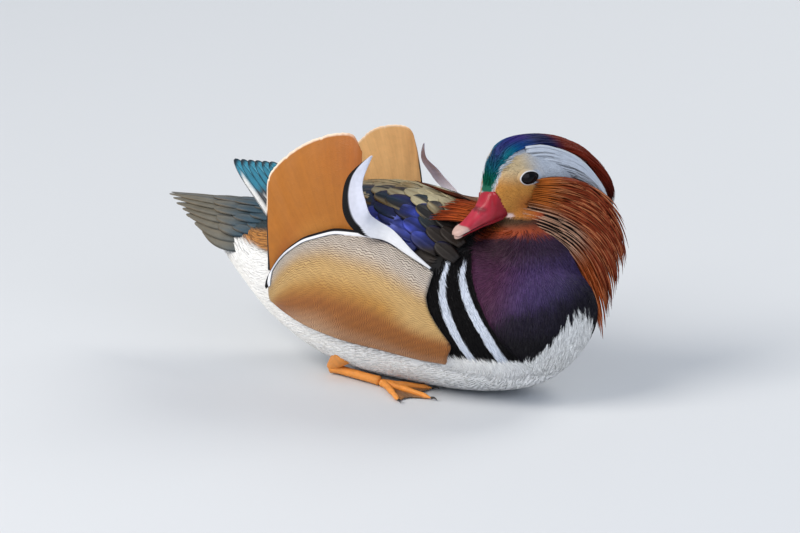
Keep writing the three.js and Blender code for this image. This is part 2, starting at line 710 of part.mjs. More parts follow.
for (const [suffix, side] of [['left', 1], ['right', -1]]) {
  const flankRoom = flankLayer(side, -4, gap + 0.4, 1);
  const featherRoom = backFeathers(side, gap).add(primaryFeathers(side, gap));
  const wingRoom = joined([wingLayer(side, -4, gap, 0.6), torsoRoom, featherRoom]);
  const sailRoom = sailSheet(side, -3, vaneThick + gap + 0.2);
  const primary = primaryFeathers(side, 0).subtract(torsoRoom);
  const wing = joined([wingLayer(side, 0.9, 0, 0), backFeathers(side, 0), primary]);
  const bounds = joined([neckRoom, flankRoom, midline(side)]);
  addNode(`wing_${suffix}`, wing.subtract(bounds), finish(0x2b3a7a, 0.4));
  const sail = sailSheet(side, 0, vaneThick).subtract(wingRoom).subtract(flankRoom);
  addNode(`sail_${suffix}`, sail, finish(0xd07a2a));
  const crescent = crescentSolid(side).subtract(wingRoom).subtract(flankRoom).subtract(sailRoom);
  addNode(`crescent_${suffix}`, crescent, finish(0xe9e9ee));
  addNode(`flank_${suffix}`, flankLayer(side, 1, 0, 0), finish(0xc9a05a));
  addNode(`leg_${suffix}`, legSolid(side).subtract(torsoRoom).subtract(floorCut), finish(0xd98a2a));
  addNode(`foot_${suffix}`, footSolid(side).subtract(floorCut).subtract(torsoRoom), finish(0xd98a2a));
}
addNode('tail', tailSolid().subtract(torsoRoom), finish(0x4a443a));

export default duck;
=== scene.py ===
import bpy
import numpy as np
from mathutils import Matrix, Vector
from mathutils.bvhtree import BVHTree
from mathutils.kdtree import KDTree


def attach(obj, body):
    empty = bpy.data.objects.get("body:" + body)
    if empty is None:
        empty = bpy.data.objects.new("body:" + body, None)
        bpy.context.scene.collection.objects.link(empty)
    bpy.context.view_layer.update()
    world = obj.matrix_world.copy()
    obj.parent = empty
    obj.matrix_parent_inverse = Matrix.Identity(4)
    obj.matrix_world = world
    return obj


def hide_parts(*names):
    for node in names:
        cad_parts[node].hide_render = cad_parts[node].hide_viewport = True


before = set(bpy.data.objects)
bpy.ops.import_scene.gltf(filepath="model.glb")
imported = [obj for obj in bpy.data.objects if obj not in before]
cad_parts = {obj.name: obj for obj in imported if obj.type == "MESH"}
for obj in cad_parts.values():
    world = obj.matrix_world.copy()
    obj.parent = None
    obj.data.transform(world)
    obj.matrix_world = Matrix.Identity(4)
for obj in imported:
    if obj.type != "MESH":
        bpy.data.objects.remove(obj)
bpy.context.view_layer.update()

# A drake mandarin duck. Lengths below are in millimetres, +X to the breast, +Y to the bird's left,
# and every mesh is made in metres by makeMesh. side is 1 on the left of the body and -1 on the right.
mm = 0.001
sideNames = {1: ("Left", "left"), -1: ("Right", "right")}


# Small sums

def unit(v):
    return v / np.maximum(np.linalg.norm(v, axis=-1, keepdims=True), 1e-9)


def blend(a, b, t):
    return a + (b - a) * t


def soft(low, high, value):
    t = np.clip((np.asarray(value, float) - low) / (high - low), 0, 1)
    return t * t * (3 - 2 * t)


def linear(colour):
    c = np.asarray(colour, float) / 255
    return np.where(c <= 0.04045, c / 12.92, ((c + 0.055) / 1.055) ** 2.4)


def toward(base, colour, share):
    return blend(base, linear(colour), np.asarray(share)[..., None])


def plain(colour, like):
    # one colour for every number in like
    return np.broadcast_to(linear(colour), np.shape(like) + (3,))


def over(colour, palette, *layers):
    # colours of the palette laid on in turn, each by its share
    for key, share in layers:
        colour = toward(colour, palette[key], share)
    return colour


def tabled(x, rows):
    return np.interp(x, *zip(*rows))


def circle(count):
    return np.linspace(0, 2 * np.pi, count, endpoint=False)


def betweenPoles(count):
    # from 0 to 1, closer together at both ends
    return (0.5 - 0.5 * np.cos(np.linspace(0, np.pi, count)))[:, None]


def alongVane(rows):
    # from 0 at the root of a vane to 1, closer together at the tip
    return np.sin(np.linspace(0, 1, rows) * np.pi / 2) ** 0.9


def lineAndOut(pointAt, a, b, lift):
    # a line raised from a form, and the way out of the form along it
    line = pointAt(a, b, lift)
    return line, unit(pointAt(a, b, lift + 1) - line)


def through(rows):
    # a smooth line through rows of numbers, at t from 0 to 1
    table = np.array(rows, float)
    last = len(table) - 1

    def at(t):
        t = np.clip(np.asarray(t, float), 0, 1) * last
        i = np.minimum(t.astype(int), last - 1)
        w = (t - i)[..., None]
        before, a = table[np.maximum(i - 1, 0)], table[i]
        b, after = table[i + 1], table[np.minimum(i + 2, last)]
        leave, reach = (b - before) / 2, (after - a) / 2
        return ((2 * a - 2 * b + leave + reach) * w ** 3
                + (3 * b - 3 * a - 2 * leave - reach) * w ** 2 + leave * w + a)
    return at


def arch(a, b, c, t):
    return a * (1 - t) * (1 - 2 * t) + b * 4 * t * (1 - t) + c * t * (2 * t - 1)


def superPoint(angle, power):
    s, c = np.sin(angle), np.cos(angle)
    return np.sign(s) * np.abs(s) ** (2 / power), np.sign(c) * np.abs(c) ** (2 / power)


def ripple(x, y=0.0, z=0.0):
    # a cheap smooth scatter from -1 to 1 that changes over a few units
    return (np.sin(x * 1.7 + 2.1 * np.sin(y * 1.3 + 0.7)) + np.sin(y * 2.3 + 1.7 * np.sin(z * 1.9))
            + np.sin(z * 1.5 + 2.3 * np.sin(x * 1.1))) / 3


# The torso and what is placed on it

torso = {
    # station: x, back height, keel height, half width
    "stations": [
        (112.5, 51, 49, 0.4), (108, 66, 34, 20), (99, 75, 20, 32.5), (84, 82, 8, 43), (62, 88, 1.5, 49.5),
        (38, 97, -1.6, 53), (10, 104.5, -2, 54.5), (-20, 105, -1.2, 54), (-50, 99, 4, 49),
        (-78, 89, 17, 40.5), (-100, 81, 34, 31), (-120, 75, 53, 21), (-134, 70, 65, 0.4)],
    "waist": 0.45,
    "power": 1.9,
    "floorCut": 0.3,
}
torsoRow = through(torso["stations"])
torsoSteps = np.linspace(0, 1, 1500)
torsoXs = torsoRow(torsoSteps)[:, 0]


def torsoAlong(x):
    return np.interp(-np.asarray(x, float), -torsoXs, torsoSteps)


def torsoSurface(along, angle):
    row = torsoRow(along)
    x, back, keel, half = (row[..., i] for i in range(4))
    waist = keel + torso["waist"] * (back - keel)
    out, up = superPoint(angle, torso["power"])
    return np.stack([x + 0 * out, half * out, waist + up * np.where(up > 0, back - waist, waist - keel)], -1)


def torsoPoint(x, angle, lift=0.0):
    # angle in degrees from the top of the back, positive on the left
    along, angle = np.broadcast_arrays(torsoAlong(x), np.radians(angle))
    step = 1e-3
    after, before = np.minimum(along + step, 0.999), np.maximum(along - step, 0.001)
    a = torsoSurface(after, angle) - torsoSurface(before, angle)
    b = torsoSurface(along, angle + step) - torsoSurface(along, angle - step)
    return torsoSurface(along, angle) - unit(np.cross(a, b)) * np.asarray(lift, float)[..., None]


def torsoAngle(p):
    row = torsoRow(torsoAlong(p[..., 0]))
    back, keel, half = row[..., 1], row[..., 2], np.maximum(row[..., 3], 1)
    waist = keel + torso["waist"] * (back - keel)
    reach = np.where(p[..., 2] > waist, back - waist, waist - keel)
    out = np.clip(np.abs(p[..., 1]) / half, 0, 1) ** (torso["power"] / 2)
    up = (p[..., 2] - waist) / np.maximum(reach, 0.5)
    up = np.sign(up) * np.abs(up) ** (torso["power"] / 2)
    return np.degrees(np.arctan2(out, up))


flankTop = {
    # the flank's upper edge: x, and degrees from the top of the back
    "rows": [(-75, 95), (-71, 77), (-62, 61), (-50, 51), (-30, 45), (-5, 45), (8, 46.5), (22, 49), (38, 52)],
    # steps of the table that the smoothing takes in, and its width
    "reach": 14, "smooth": 7,
}
flankTopXs = np.linspace(-90, 60, 301)
nearby = np.exp(-(np.arange(-flankTop["reach"], flankTop["reach"] + 1) / flankTop["smooth"]) ** 2)
flankTopAngles = np.convolve(
    np.pad(tabled(flankTopXs, flankTop["rows"]), flankTop["reach"], "edge"), nearby / nearby.sum(), "valid")


def flankAngle(x):
    return np.interp(x, flankTopXs, flankTopAngles)


# The head's own frame: its origin is where the culmen meets the forehead

head = {
    "origin": (52, -8, 116),
    "yaw": -112,
    "bendStart": 25, "bendSpan": 50, "bendShift": 18,
    # station: distance behind the culmen, crown, throat, half width
    "stations": [
        (-2.5, -5, -7, 0.4), (-0.5, 5, -13, 7.4), (3, 17, -15.5, 10), (8, 24.5, -18, 12.8), (16, 28, -21, 15),
        (27, 27.2, -24, 16), (38, 25, -24, 16.5), (47, 19, -19, 13.5), (53, 10, -9, 8), (55.5, 1, -1, 0.4)],
    "power": 2.1,
}
headTurn = np.cos(np.radians(head["yaw"])), np.sin(np.radians(head["yaw"]))
headRow = through(head["stations"])


def napeShift(back):
    return head["bendShift"] * (np.maximum(back - head["bendStart"], 0) / head["bendSpan"]) ** 2


def fromHead(back, side, up):
    back, side, up = np.broadcast_arrays(*(np.asarray(v, float) for v in (back, side, up)))
    c, s = headTurn
    out = side + napeShift(back)
    return np.stack([-back * c - out * s, -back * s + out * c, up], -1) + head["origin"]


def toHead(p):
    # behind, side and up of a point in the head's frame
    c, s = headTurn
    q = np.asarray(p, float) - head["origin"]
    back = -(q[..., 0] * c + q[..., 1] * s)
    side = -q[..., 0] * s + q[..., 1] * c
    return back, side - napeShift(back), q[..., 2]


def headDirection(back, side, up):
    return unit(fromHead(back, side, up) - fromHead(0, 0, 0))


neck = {"rings": [((62, 8, 66), 37), ((64, 9, 83), 30.5), ((65, 12, 97), 20.5), ((67, 17, 110), 15.5)]}


# Meshes

def makeMesh(name, points, faces, colours=None, maps=None):
    # points in mm, faces as arrays of corner numbers, colours and maps by point
    mesh = bpy.data.meshes.new(name)
    points = np.asarray(points, float).reshape(-1, 3)
    faces = [np.asarray(f, np.int32) for f in faces if len(f)]
    corners = np.concatenate([f.ravel() for f in faces])
    totals = np.concatenate([np.full(len(f), f.shape[1], np.int32) for f in faces])
    mesh.vertices.add(len(points))
    mesh.vertices.foreach_set("co", (points * mm).astype(np.float32).ravel())
    mesh.loops.add(len(corners))
    mesh.loops.foreach_set("vertex_index", corners)
    mesh.polygons.add(len(totals))
    mesh.polygons.foreach_set("loop_start", np.concatenate([[0], np.cumsum(totals)[:-1]]).astype(np.int32))
    mesh.polygons.foreach_set("loop_total", totals)
    mesh.update(calc_edges=True)
    mesh.polygons.foreach_set("use_smooth", np.full(len(totals), True))
    for mapName, uv in (maps or {}).items():
        layer = mesh.uv_layers.new(name=mapName)
        uv = np.asarray(uv, np.float32).reshape(-1, 2)
        layer.data.foreach_set("uv", uv[corners].ravel())
    if colours is not None:
        rgba = np.ones((len(points), 4), np.float32)
        rgba[:, :3] = np.clip(np.asarray(colours).reshape(-1, 3), 0, 1)
        painted = mesh.color_attributes.new("plumage", "FLOAT_COLOR", "POINT")
        painted.data.foreach_set("color", rgba.ravel())
    mesh.validate()
    piece = bpy.data.objects.new(name, mesh)
    bpy.context.scene.collection.objects.link(piece)
    return piece


def readAll(items, key, width=1, kind=np.float32):
    values = np.zeros(len(items) * width, kind)
    items.foreach_get(key, values)
    return values.reshape(-1, width) if width > 1 else values


def meshTriangles(piece):
    # the corners of a piece in mm, and its triangles
    mesh = piece.data
    mesh.calc_loop_triangles()
    points = readAll(mesh.vertices, "co", 3).astype(float) / mm
    return points, readAll(mesh.loop_triangles, "vertices", 3, np.int32)


def dress(piece, material, slotName, *nodes):
    piece.data.materials.append(material)
    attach(piece, "root")
    if nodes:
        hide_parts(*nodes)


unwrap = {
    # middle of the skull behind the culmen's root, and how far the head's part of the map reaches from it
    "skull": 27, "reach": 36,
    # x where the body's part starts, and its length; then the place and size of both parts on the map
    "rear": -180, "long": 320, "edge": 0.02, "wide": 0.9, "headTall": 0.38, "bodyLow": 0.44, "bodyTall": 0.54,
    "tuft": 0.003,
}


def bakePatch(p):
    # where a point lies on the unwrap of the skin: the body above, the head and neck below
    back, side, up = toHead(p)
    back = back - unwrap["skull"]
    isHead = np.linalg.norm(np.stack([back, side, up], -1), axis=-1) < unwrap["reach"]
    row = torsoRow(torsoAlong(p[..., 0]))
    middle = blend(row[..., 2], row[..., 1], 0.5)
    turn = np.arctan2(p[..., 1], p[..., 2] - middle) / (2 * np.pi) + 0.5
    along = (p[..., 0] - unwrap["rear"]) / unwrap["long"]
    around = np.arctan2(side, back) / (2 * np.pi) + 0.5
    rise = np.arctan2(up, np.hypot(side, back)) / np.pi + 0.5
    across = unwrap["edge"] + unwrap["wide"] * np.where(isHead, around, along)
    headHigh, bodyHigh = unwrap["edge"] + unwrap["headTall"] * rise, unwrap["bodyLow"] + unwrap["bodyTall"] * turn
    return np.stack([across, np.where(isHead, headHigh, bodyHigh)], -1)


def coverMaps(points):
    return {"OFBake": bakePatch(points), "Vane": points[:, :2] / 8}


# Cross sections: across from -0.5 to 0.5, height of the shown side, and of the back
tuftRing = np.array([(-0.5, 0), (0, 1), (0.5, 0)])
lockRing = np.array([(-0.5, 0), (-0.16, 0.55), (0, 1), (0.16, 0.55), (0.5, 0)])
vaneRing = np.array([(-0.5, 0), (-0.34, 0.42), (-0.17, 0.5), (-0.035, 0.55), (0, 1), (0.035, 0.55),
                     (0.17, 0.5), (0.34, 0.42), (0.5, 0), (0.17, -0.3), (-0.17, -0.3)])


# Outlines of feathers: the share of the full width at v, from 0 at the root to 1 at the tip


def pointed(v):
    return (1 - v) ** 0.6 * (0.75 + 0.25 * np.minimum(1, 5 * v))


def tapered(v):
    return (1 - v) ** 0.6 * (0.2 + 0.8 * np.minimum(1, 3.5 * v))


def rounded(v):
    return (0.62 + 0.38 * np.minimum(1, 2.5 * v)) * np.sqrt(np.maximum(0, 1 - 0.985 * v ** 5))


def lance(v):
    swell = 0.45 + 0.55 * np.sin(np.pi * np.minimum(1, v * 1.1) ** 0.8)
    return swell * np.sqrt(np.maximum(0, 1 - 0.985 * v ** 7))


def feathers(name, spine, out, wide, thick, ring, shape, paint, v, cup=0.0, atlas=False):
    # spine (count, rows, 3) and out, the shown side, at each row; paint gives colours for (count, rows, ring)
    count, rows = spine.shape[:2]
    tangent = unit(np.gradient(spine, axis=1))
    across = unit(np.cross(tangent, out))
    face = unit(np.cross(across, tangent))
    wide, thick = (np.broadcast_to(np.asarray(size, float).reshape(-1, 1), (count, 1)) for size in (wide, thick))
    width = (wide * shape(v))[:, :, None]
    height = (thick * np.minimum(1, 0.3 + shape(v)))[:, :, None]
    u, h = ring[:, 0], ring[:, 1]
    points = (spine[:, :, None] + across[:, :, None] * (width * u)[..., None]
              + face[:, :, None] * (height * h - width * (cup * (2 * u) ** 2))[..., None])
    k = len(ring)
    first = np.arange(count)[:, None] * rows * k
    start = first[:, None] + np.arange(rows - 1)[None, :, None] * k
    a, b = start + np.arange(k), start + (np.arange(k) + 1) % k
    sides = np.stack([a, b, b + k, a + k], -1).reshape(-1, 4)
    root = first + np.arange(k)[::-1]
    tip = first + (rows - 1) * k + np.arange(k)
    uGrid, vGrid = np.broadcast_arrays((u + 0.5)[None, None], v[None, :, None])
    vane = np.broadcast_to(np.stack([uGrid, vGrid], -1), (count, rows, k, 2))
    if atlas:
        perRow = int(np.ceil(np.sqrt(count)))
        cell = np.stack([np.arange(count) % perRow, np.arange(count) // perRow], -1)[:, None, None]
        bake = (cell + 0.06 + 0.88 * vane) / perRow
    else:
        bake = bakePatch(spine[:, 0])[:, None, None] + (vane - 0.5) * unwrap["tuft"]
    colours = paint(uGrid - 0.5, vGrid, points)
    return makeMesh(name, points, [sides, root, tip], np.broadcast_to(colours, (count, rows, k, 3)),
                    {"Vane": vane, "OFBake": bake})


def slab(name, shown, back, cells, paint):
    # a closed sheet between two faces given by functions of u and v, in cells[0] columns and cells[1] rows
    columns, rows = cells
    u, v = np.meshgrid(np.linspace(0, 1, columns + 1), np.linspace(0, 1, rows + 1))
    top, low = shown(u, v), back(u, v)
    points = np.concatenate([top.reshape(-1, 3), low.reshape(-1, 3)])
    grid = np.arange(u.size).reshape(u.shape)
    count = u.size
    quads = np.stack([grid[:-1, :-1], grid[:-1, 1:], grid[1:, 1:], grid[1:, :-1]], -1).reshape(-1, 4)
    rim = np.concatenate([grid[0, :-1], grid[:-1, -1], grid[-1, :0:-1], grid[:0:-1, 0]])
    after = np.roll(rim, -1)
    edge = np.stack([after, rim, rim + count, after + count], -1)
    uv = np.stack([u, v], -1).reshape(-1, 2)
    colours = np.concatenate([paint(u, v, top, 1).reshape(-1, 3), paint(u, v, low, -1).reshape(-1, 3)])
    bake = np.concatenate([uv * [0.48, 0.96] + [0.01, 0.02], uv * [0.48, 0.96] + [0.51, 0.02]])
    return makeMesh(name, points, [quads, quads[:, ::-1] + count, edge], colours,
                    {"Vane": np.concatenate([uv, uv]), "OFBake": bake})


# Roots of small feathers, spread evenly over a surface

class Surface:
    # a mesh in mm with its nearest-point tree
    def __init__(self, points, triangles):
        self.points = np.asarray(points, float)
        self.triangles = np.asarray(triangles)
        self.tree = BVHTree.FromPolygons([Vector(p) for p in self.points], self.triangles.tolist())

    def nearest(self, points):
        found = [self.tree.find_nearest(Vector(p)) for p in points.reshape(-1, 3)]
        at = np.array([f[0][:] for f in found]).reshape(points.shape)
        normals = np.array([f[1][:] for f in found]).reshape(points.shape)
        return at, normals

    def spread(self, spacing, keep, seed):
        # random points of the kept area, thinned until none is nearer than spacing
        rng = np.random.default_rng(seed)
        a, b, c = (self.points[self.triangles[:, i]] for i in range(3))
        normals = np.cross(b - a, c - a)
        area = np.linalg.norm(normals, axis=1) / 2
        middle = (a + b + c) / 3
        area = np.where(keep(middle, unit(normals)), area, 0)
        count = int(4.5 * area.sum() / spacing ** 2)
        pick = rng.choice(len(area), count, p=area / area.sum())
        r, s = np.sqrt(rng.random((count, 1))), rng.random((count, 1))
        found = (1 - r) * a[pick] + r * (1 - s) * b[pick] + r * s * c[pick]
        tree = KDTree(count)
        for i, p in enumerate(found):
            tree.insert(p, i)
        tree.balance()
        taken = np.zeros(count, bool)
        chosen = []
        for i in range(count):
            if taken[i]:
                continue
            chosen.append(i)
            for _, j, _ in tree.find_range(found[i], spacing):
                taken[j] = True
        return found[chosen]

    def lay(self, roots, long, v, field, lift, sink=0.6):
        # lines that follow field over the surface, rising from under it at the root to lift at the tip
        at, normal = self.nearest(roots)
        lines, outs = [], []
        long = np.broadcast_to(np.asarray(long, float).reshape(-1, 1), (len(roots), 1))
        lift = np.broadcast_to(np.asarray(lift, float).reshape(-1, 1), (len(roots), 1))
        for k, share in enumerate(v):
            if k:
                flow = field(at)
                flow = unit(flow - normal * np.sum(flow * normal, -1, keepdims=True))
                at, fresh = self.nearest(at + flow * long * (share - v[k - 1]))
                normal = unit(normal + fresh)
            lines.append(at + normal * (-sink + (lift + sink) * share ** 0.7))
            outs.append(normal)
        return np.stack(lines, 1), np.stack(outs, 1)


# Markings, and some painted shade: the colour of the plumage at a point, the same for the skin and for what grows
# on it

breast = {
    "wine": (34, 14, 22), "rose": (76, 38, 66), "purple": (72, 54, 98), "blue": (46, 44, 80), "navy": (18, 14, 24),
    "black": (7, 6, 8), "bellyTop": 32,
    "bar": (214, 222, 236), "white": (242, 242, 240), "throat": [(40, 87), (60, 92), (80, 97.5)],
    # heights, and there the x of the buff's end, both edges of the two white bars, and the end of the black
    "heights": (25, 35, 45, 55, 65, 75, 85, 95),
    "edges": [(53, 50, 45.4, 40.8, 37.6, 37.5, 41.8, 50), (68, 62, 55.3, 48.8, 44.2, 41.9, 42.2, 47),
              (73, 67, 60.7, 54.1, 48.5, 44.7, 43.2, 46), (82, 79.2, 73, 65.1, 57.3, 51.5, 49.4, 53),
              (88, 84.7, 79.4, 71.3, 62.4, 54.6, 49.8, 50.1), (96, 90.2, 82.7, 74.6, 66.3, 58.5, 51.5, 48)],
    "patch": {"middle": -3, "top": 55, "fall": 0.035, "reach": 92},
}
body = {
    "mantle": (50, 44, 40), "rump": (44, 60, 66), "rumpSide": (190, 130, 66), "rumpDark": (96, 60, 32),
    "buff": (190, 140, 72), "buffLow": 102, "belly": (250, 250, 249),
}
face = {
    # white is greyed towards blue as painted shade, the side of the head lying in shade
    "white": (188, 196, 208), "cream": (204, 182, 142), "yellow": (192, 132, 56), "deep": (164, 84, 24),
    "shade": (18, 10, 8), "rust": (158, 66, 28), "darkRust": (92, 32, 16), "gape": (226, 204, 204),
    # lower edge of the crest: behind, up
    "crestEdge": [(-1.1, 0), (0.75, 6), (4.7, 16.4), (12.3, 23.2), (25, 25.3), (35.6, 25), (44, 22.5), (56, 14),
                  (61, 8.4), (68.5, -9.6)],
    # where the feathers stop at the bill: up, behind
    "margin": [(-14.5, 8.8), (-11, 7.8), (-5.5, 4), (0, 0.6), (2.5, -0.6)],
}
crown = {
    "green": (0, 92, 70), "teal": (0, 98, 114), "blue": (4, 60, 114), "violet": (44, 36, 104),
    "night": (20, 28, 70), "rust": (100, 28, 10), "maroon": (56, 14, 8), "tip": (14, 8, 8),
}
eye = {"back": 18.6, "side": 9.9, "up": 9.3, "ball": (8.6, 6.6, 6.2), "long": 5.7, "tall": 3.5}


def crestEdge(back):
    return tabled(back, face["crestEdge"])


def eyeReach(back, up):
    # 1 along the rim of the eye's opening
    return np.hypot((back - eye["back"]) / eye["long"], (up - eye["up"]) / eye["tall"])


def barEdge(z, i):
    return np.interp(z, breast["heights"], breast["edges"][i])


def crownColour(back, side, up):
    side = np.abs(side)
    return over(
        plain(crown["green"], back), crown,
        ("teal", soft(8, 17, up + 0.6 * back)),
        ("blue", soft(8, 17, back)),
        ("violet", 0.85 * soft(8, 2, side) * soft(0, 7, back) + 0.25 * soft(14, 22, back)),
        ("night", soft(20, 31, back)),
        ("rust", soft(34, 43, back - 0.4 * side)),
        ("maroon", 0.75 * soft(4, -8, up) * soft(40, 50, back)),
        ("tip", soft(-8, -17, up) * soft(50, 60, back)))


def faceColour(back, side, up):
    above = up - crestEdge(back) - 5 * soft(-4, -7, side) * soft(14, 8, back)
    colour = over(
        plain(face["white"], back), face,
        ("cream", soft(31, 14, back + 0.3 * (up - 10))),
        ("yellow", soft(17, 4, up + 0.1 * back) * soft(30, 21, back + 0.3 * up)),
        ("deep", 0.85 * soft(5, 19, back) * soft(4, -6, up)),
        ("rust", soft(23, 29, back - 0.6 * up) * soft(7, 4, up)),
        # painted shadow under the chin, between the cheek and the breast
        ("shade", 0.9 * soft(-12.2, -14.4, up) * soft(1, 4, back) * soft(30, 18, back)),
        ("gape", 0.85 * soft(2.2, 1.2, np.hypot(back - 8.2, (up + 12) * 1.3))),
        ("white", soft(1.5, 1.3, eyeReach(back, up) + 0.3 * soft(6, 0, back - eye["back"]))),
        # the white line along the crown, and down in front on the far side
        ("white", np.maximum(soft(-2.2, -1.2, above) * soft(42, 28, back),
                             soft(-5, -7, side) * soft(7.5, 4.5, back))))
    return blend(colour, crownColour(back, side, up), soft(-0.5, 0.6, above)[..., None])


def aboveThroat(p):
    return p[..., 2] - tabled(p[..., 0], breast["throat"])


def breastColour(p):
    x, y, z = (p[..., i] for i in range(3))
    cloud = 4 * ripple(x / 5, y / 5, z / 5)
    colour = over(
        plain(breast["purple"], x), breast,
        ("rose", soft(86, 62, x + 0.25 * y) * soft(40, 56, z + 0.5 * (x - 60))),
        ("blue", 0.6 * soft(88, 106, x)),
        ("navy", 0.75 * soft(95, 112, x + 0.35 * y + cloud)),
        ("wine", 0.75 * soft(76, 88, z)),
        ("navy", 0.9 * soft(68, 52, z + 0.25 * (90 - x) + cloud)),
        ("black", 0.8 * soft(52, 42, z)))
    orange = soft(-1.5, 1.5, aboveThroat(p) + 0.8 * ripple(x / 2, y / 2, 0))
    colour = over(colour, face, ("rust", orange), ("darkRust", 0.8 * orange * soft(74, 62, x)))
    patch = breast["patch"]
    fleck = 4.5 * ripple(y / 1.3, x / 3, z / 2.5)
    top = patch["top"] - patch["fall"] * (y - patch["middle"]) ** 2 + fleck
    return over(
        colour, breast,
        ("white", soft(-1, 1.5, top - z) * soft(patch["reach"], patch["reach"] + 5, x)),
        ("white", soft(1, -1, z + 0.3 * fleck - breast["bellyTop"])))


def bodyColour(p):
    x, z, angle = p[..., 0], p[..., 2], torsoAngle(p)
    low, aboveBelly = body["buffLow"], z - breast["bellyTop"]
    side = soft(66, 69, z) * soft(38, 46, angle) * soft(-106, -98, x) * soft(-60, -66, x)
    white = np.maximum(soft(69, 65, z + 0.05 * (x + 80)) * soft(-66, -73, x), soft(1, -1, aboveBelly))
    white = np.maximum(white, soft(low, low + 4, angle) * soft(40, 34, x))
    colour = over(
        plain(body["mantle"], x), body,
        ("rump", soft(-62, -84, x)),
        ("buff", soft(0, 6, angle - flankAngle(x)) * soft(-74, -68, x) * soft(low, low - 4, angle)),
        ("rumpSide", side),
        ("rumpDark", 0.6 * side * soft(0.1, 0.7, np.sin(x * 2.2 + 0.4 * z))),
        ("belly", white))
    edges = [barEdge(z, i) for i in range(6)]
    colour = blend(colour, breastColour(p), soft(-3, -1, x - edges[5])[..., None])
    dark = soft(-5, -4, x - edges[0]) * soft(0.4, -0.4, x - edges[5]) * soft(-1, 1, aboveBelly)
    colour = toward(colour, breast["black"], dark)
    for a, b in ((1, 2), (3, 4)):
        inside = soft(-0.35, 0.35, x - edges[a]) * soft(0.35, -0.35, x - edges[b]) * soft(83, 80, z)
        colour = toward(colour, breast["bar"], inside * soft(-1, 1, aboveBelly))
    return colour


def inBars(p):
    x, z = p[..., 0], p[..., 2]
    return soft(-3, 0, x - barEdge(z, 0)) * soft(5, 0, x - barEdge(z, 5)) * soft(90, 84, z) * soft(20, 30, z)


def headShare(p):
    back, side, up = toHead(p)
    return soft(34, 27, np.linalg.norm(np.stack([back - 25, side, (up - 3) * 0.95], -1), axis=-1))


def plumage(p):
    back, side, up = toHead(p)
    throat = soft(92, 98, p[..., 2]) * (1 - headShare(p))
    colour = toward(bodyColour(p), face["rust"], throat)
    return blend(colour, faceColour(back, side, up), headShare(p)[..., None])


# The skin, one surface for torso, neck and head, and the way the coat lies on it

skinForm = {"around": 72, "along": 80, "voxel": 1.25, "smoothing": 14, "inset": 1.1, "headInset": 0.35,
            "shade": 0.85}


def ringed(rings):
    # a closed form of rings, whose first and last are its poles
    count, k = rings.shape[:2]
    points = np.concatenate([rings[0].mean(0)[None], rings[1:-1].reshape(-1, 3), rings[-1].mean(0)[None]])
    base = 1 + np.arange(count - 3)[:, None] * k
    a, b = base + np.arange(k), base + (np.arange(k) + 1) % k
    quads = np.stack([a, b, b + k, a + k], -1).reshape(-1, 4)
    end = len(points) - 1
    loop, after = np.arange(k), (np.arange(k) + 1) % k
    low = np.stack([after + 1, loop + 1, 0 * loop], -1)
    lastRing = 1 + (count - 3) * k
    high = np.stack([loop + lastRing, after + lastRing, 0 * loop + end], -1)
    return points, [quads, low, high]


def joinForms(forms):
    points, faces, count = [], [], 0
    for rings in forms:
        p, f = ringed(rings)
        points.append(p)
        faces += [a + count for a in f]
        count += len(p)
    return np.concatenate(points), faces


def skinParts():
    along, angle = betweenPoles(skinForm["along"]), circle(skinForm["around"])[None]
    form = torsoSurface(*np.broadcast_arrays(along, angle))
    form[..., 2] = np.maximum(form[..., 2], torso["floorCut"])
    row = headRow(along)
    back, top, throat, half = (row[..., i] for i in range(4))
    out, up = superPoint(angle, head["power"])
    cheek = 1 + 0.05 * np.exp(-((back - 12) / 8) ** 2) * soft(0.2, -0.6, up)
    skull = fromHead(back + 0 * out, half * out * cheek, (top + throat) / 2 + up * (top - throat) / 2)
    rows = through([(*p, r) for p, r in neck["rings"]])(along)
    radius = np.minimum(1, 3.2 * np.sin(along * np.pi)) * rows[..., 3]
    stalk = np.stack([rows[..., 0] + radius * np.cos(angle), rows[..., 1] + radius * np.sin(angle),
                      rows[..., 2] + 0 * angle], -1)
    return [form, skull, stalk]


def makeSkin():
    points, faces = joinForms(skinParts())
    rough = makeMesh("skinRough", points / mm, faces)
    remesh = rough.modifiers.new("join", "REMESH")
    remesh.mode, remesh.voxel_size = "VOXEL", skinForm["voxel"]
    ease = rough.modifiers.new("ease", "SMOOTH")
    ease.factor, ease.iterations = 0.5, skinForm["smoothing"]
    bpy.context.view_layer.update()
    made = bpy.data.meshes.new_from_object(rough.evaluated_get(bpy.context.evaluated_depsgraph_get()))
    bpy.data.objects.remove(rough)
    points, normals = readAll(made.vertices, "co", 3).astype(float), readAll(made.vertex_normals, "vector", 3)
    corners = readAll(made.loops, "vertex_index", kind=np.int32)
    totals = readAll(made.polygons, "loop_total", kind=np.int32)
    bpy.data.meshes.remove(made)
    inset = blend(skinForm["inset"], skinForm["headInset"], headShare(points))
    points = points - normals * inset[:, None]
    points[:, 2] = np.maximum(points[:, 2], torso["floorCut"] + 0.1)
    starts = np.concatenate([[0], np.cumsum(totals)[:-1]])
    faces = [corners[starts[totals == n][:, None] + np.arange(n)] for n in (3, 4) if (totals == n).any()]
    colours = plumage(points + normals * inset[:, None]) * skinForm["shade"]
    skin = makeMesh("skin", points, faces, colours, coverMaps(points))
    sewBake(skin)
    triangles = np.concatenate([np.concatenate([f[:, [0, 1, 2]], f[:, [0, 2, 3]]]) if f.shape[1] == 4 else f
                                for f in faces])
    return skin, Surface(points, triangles)


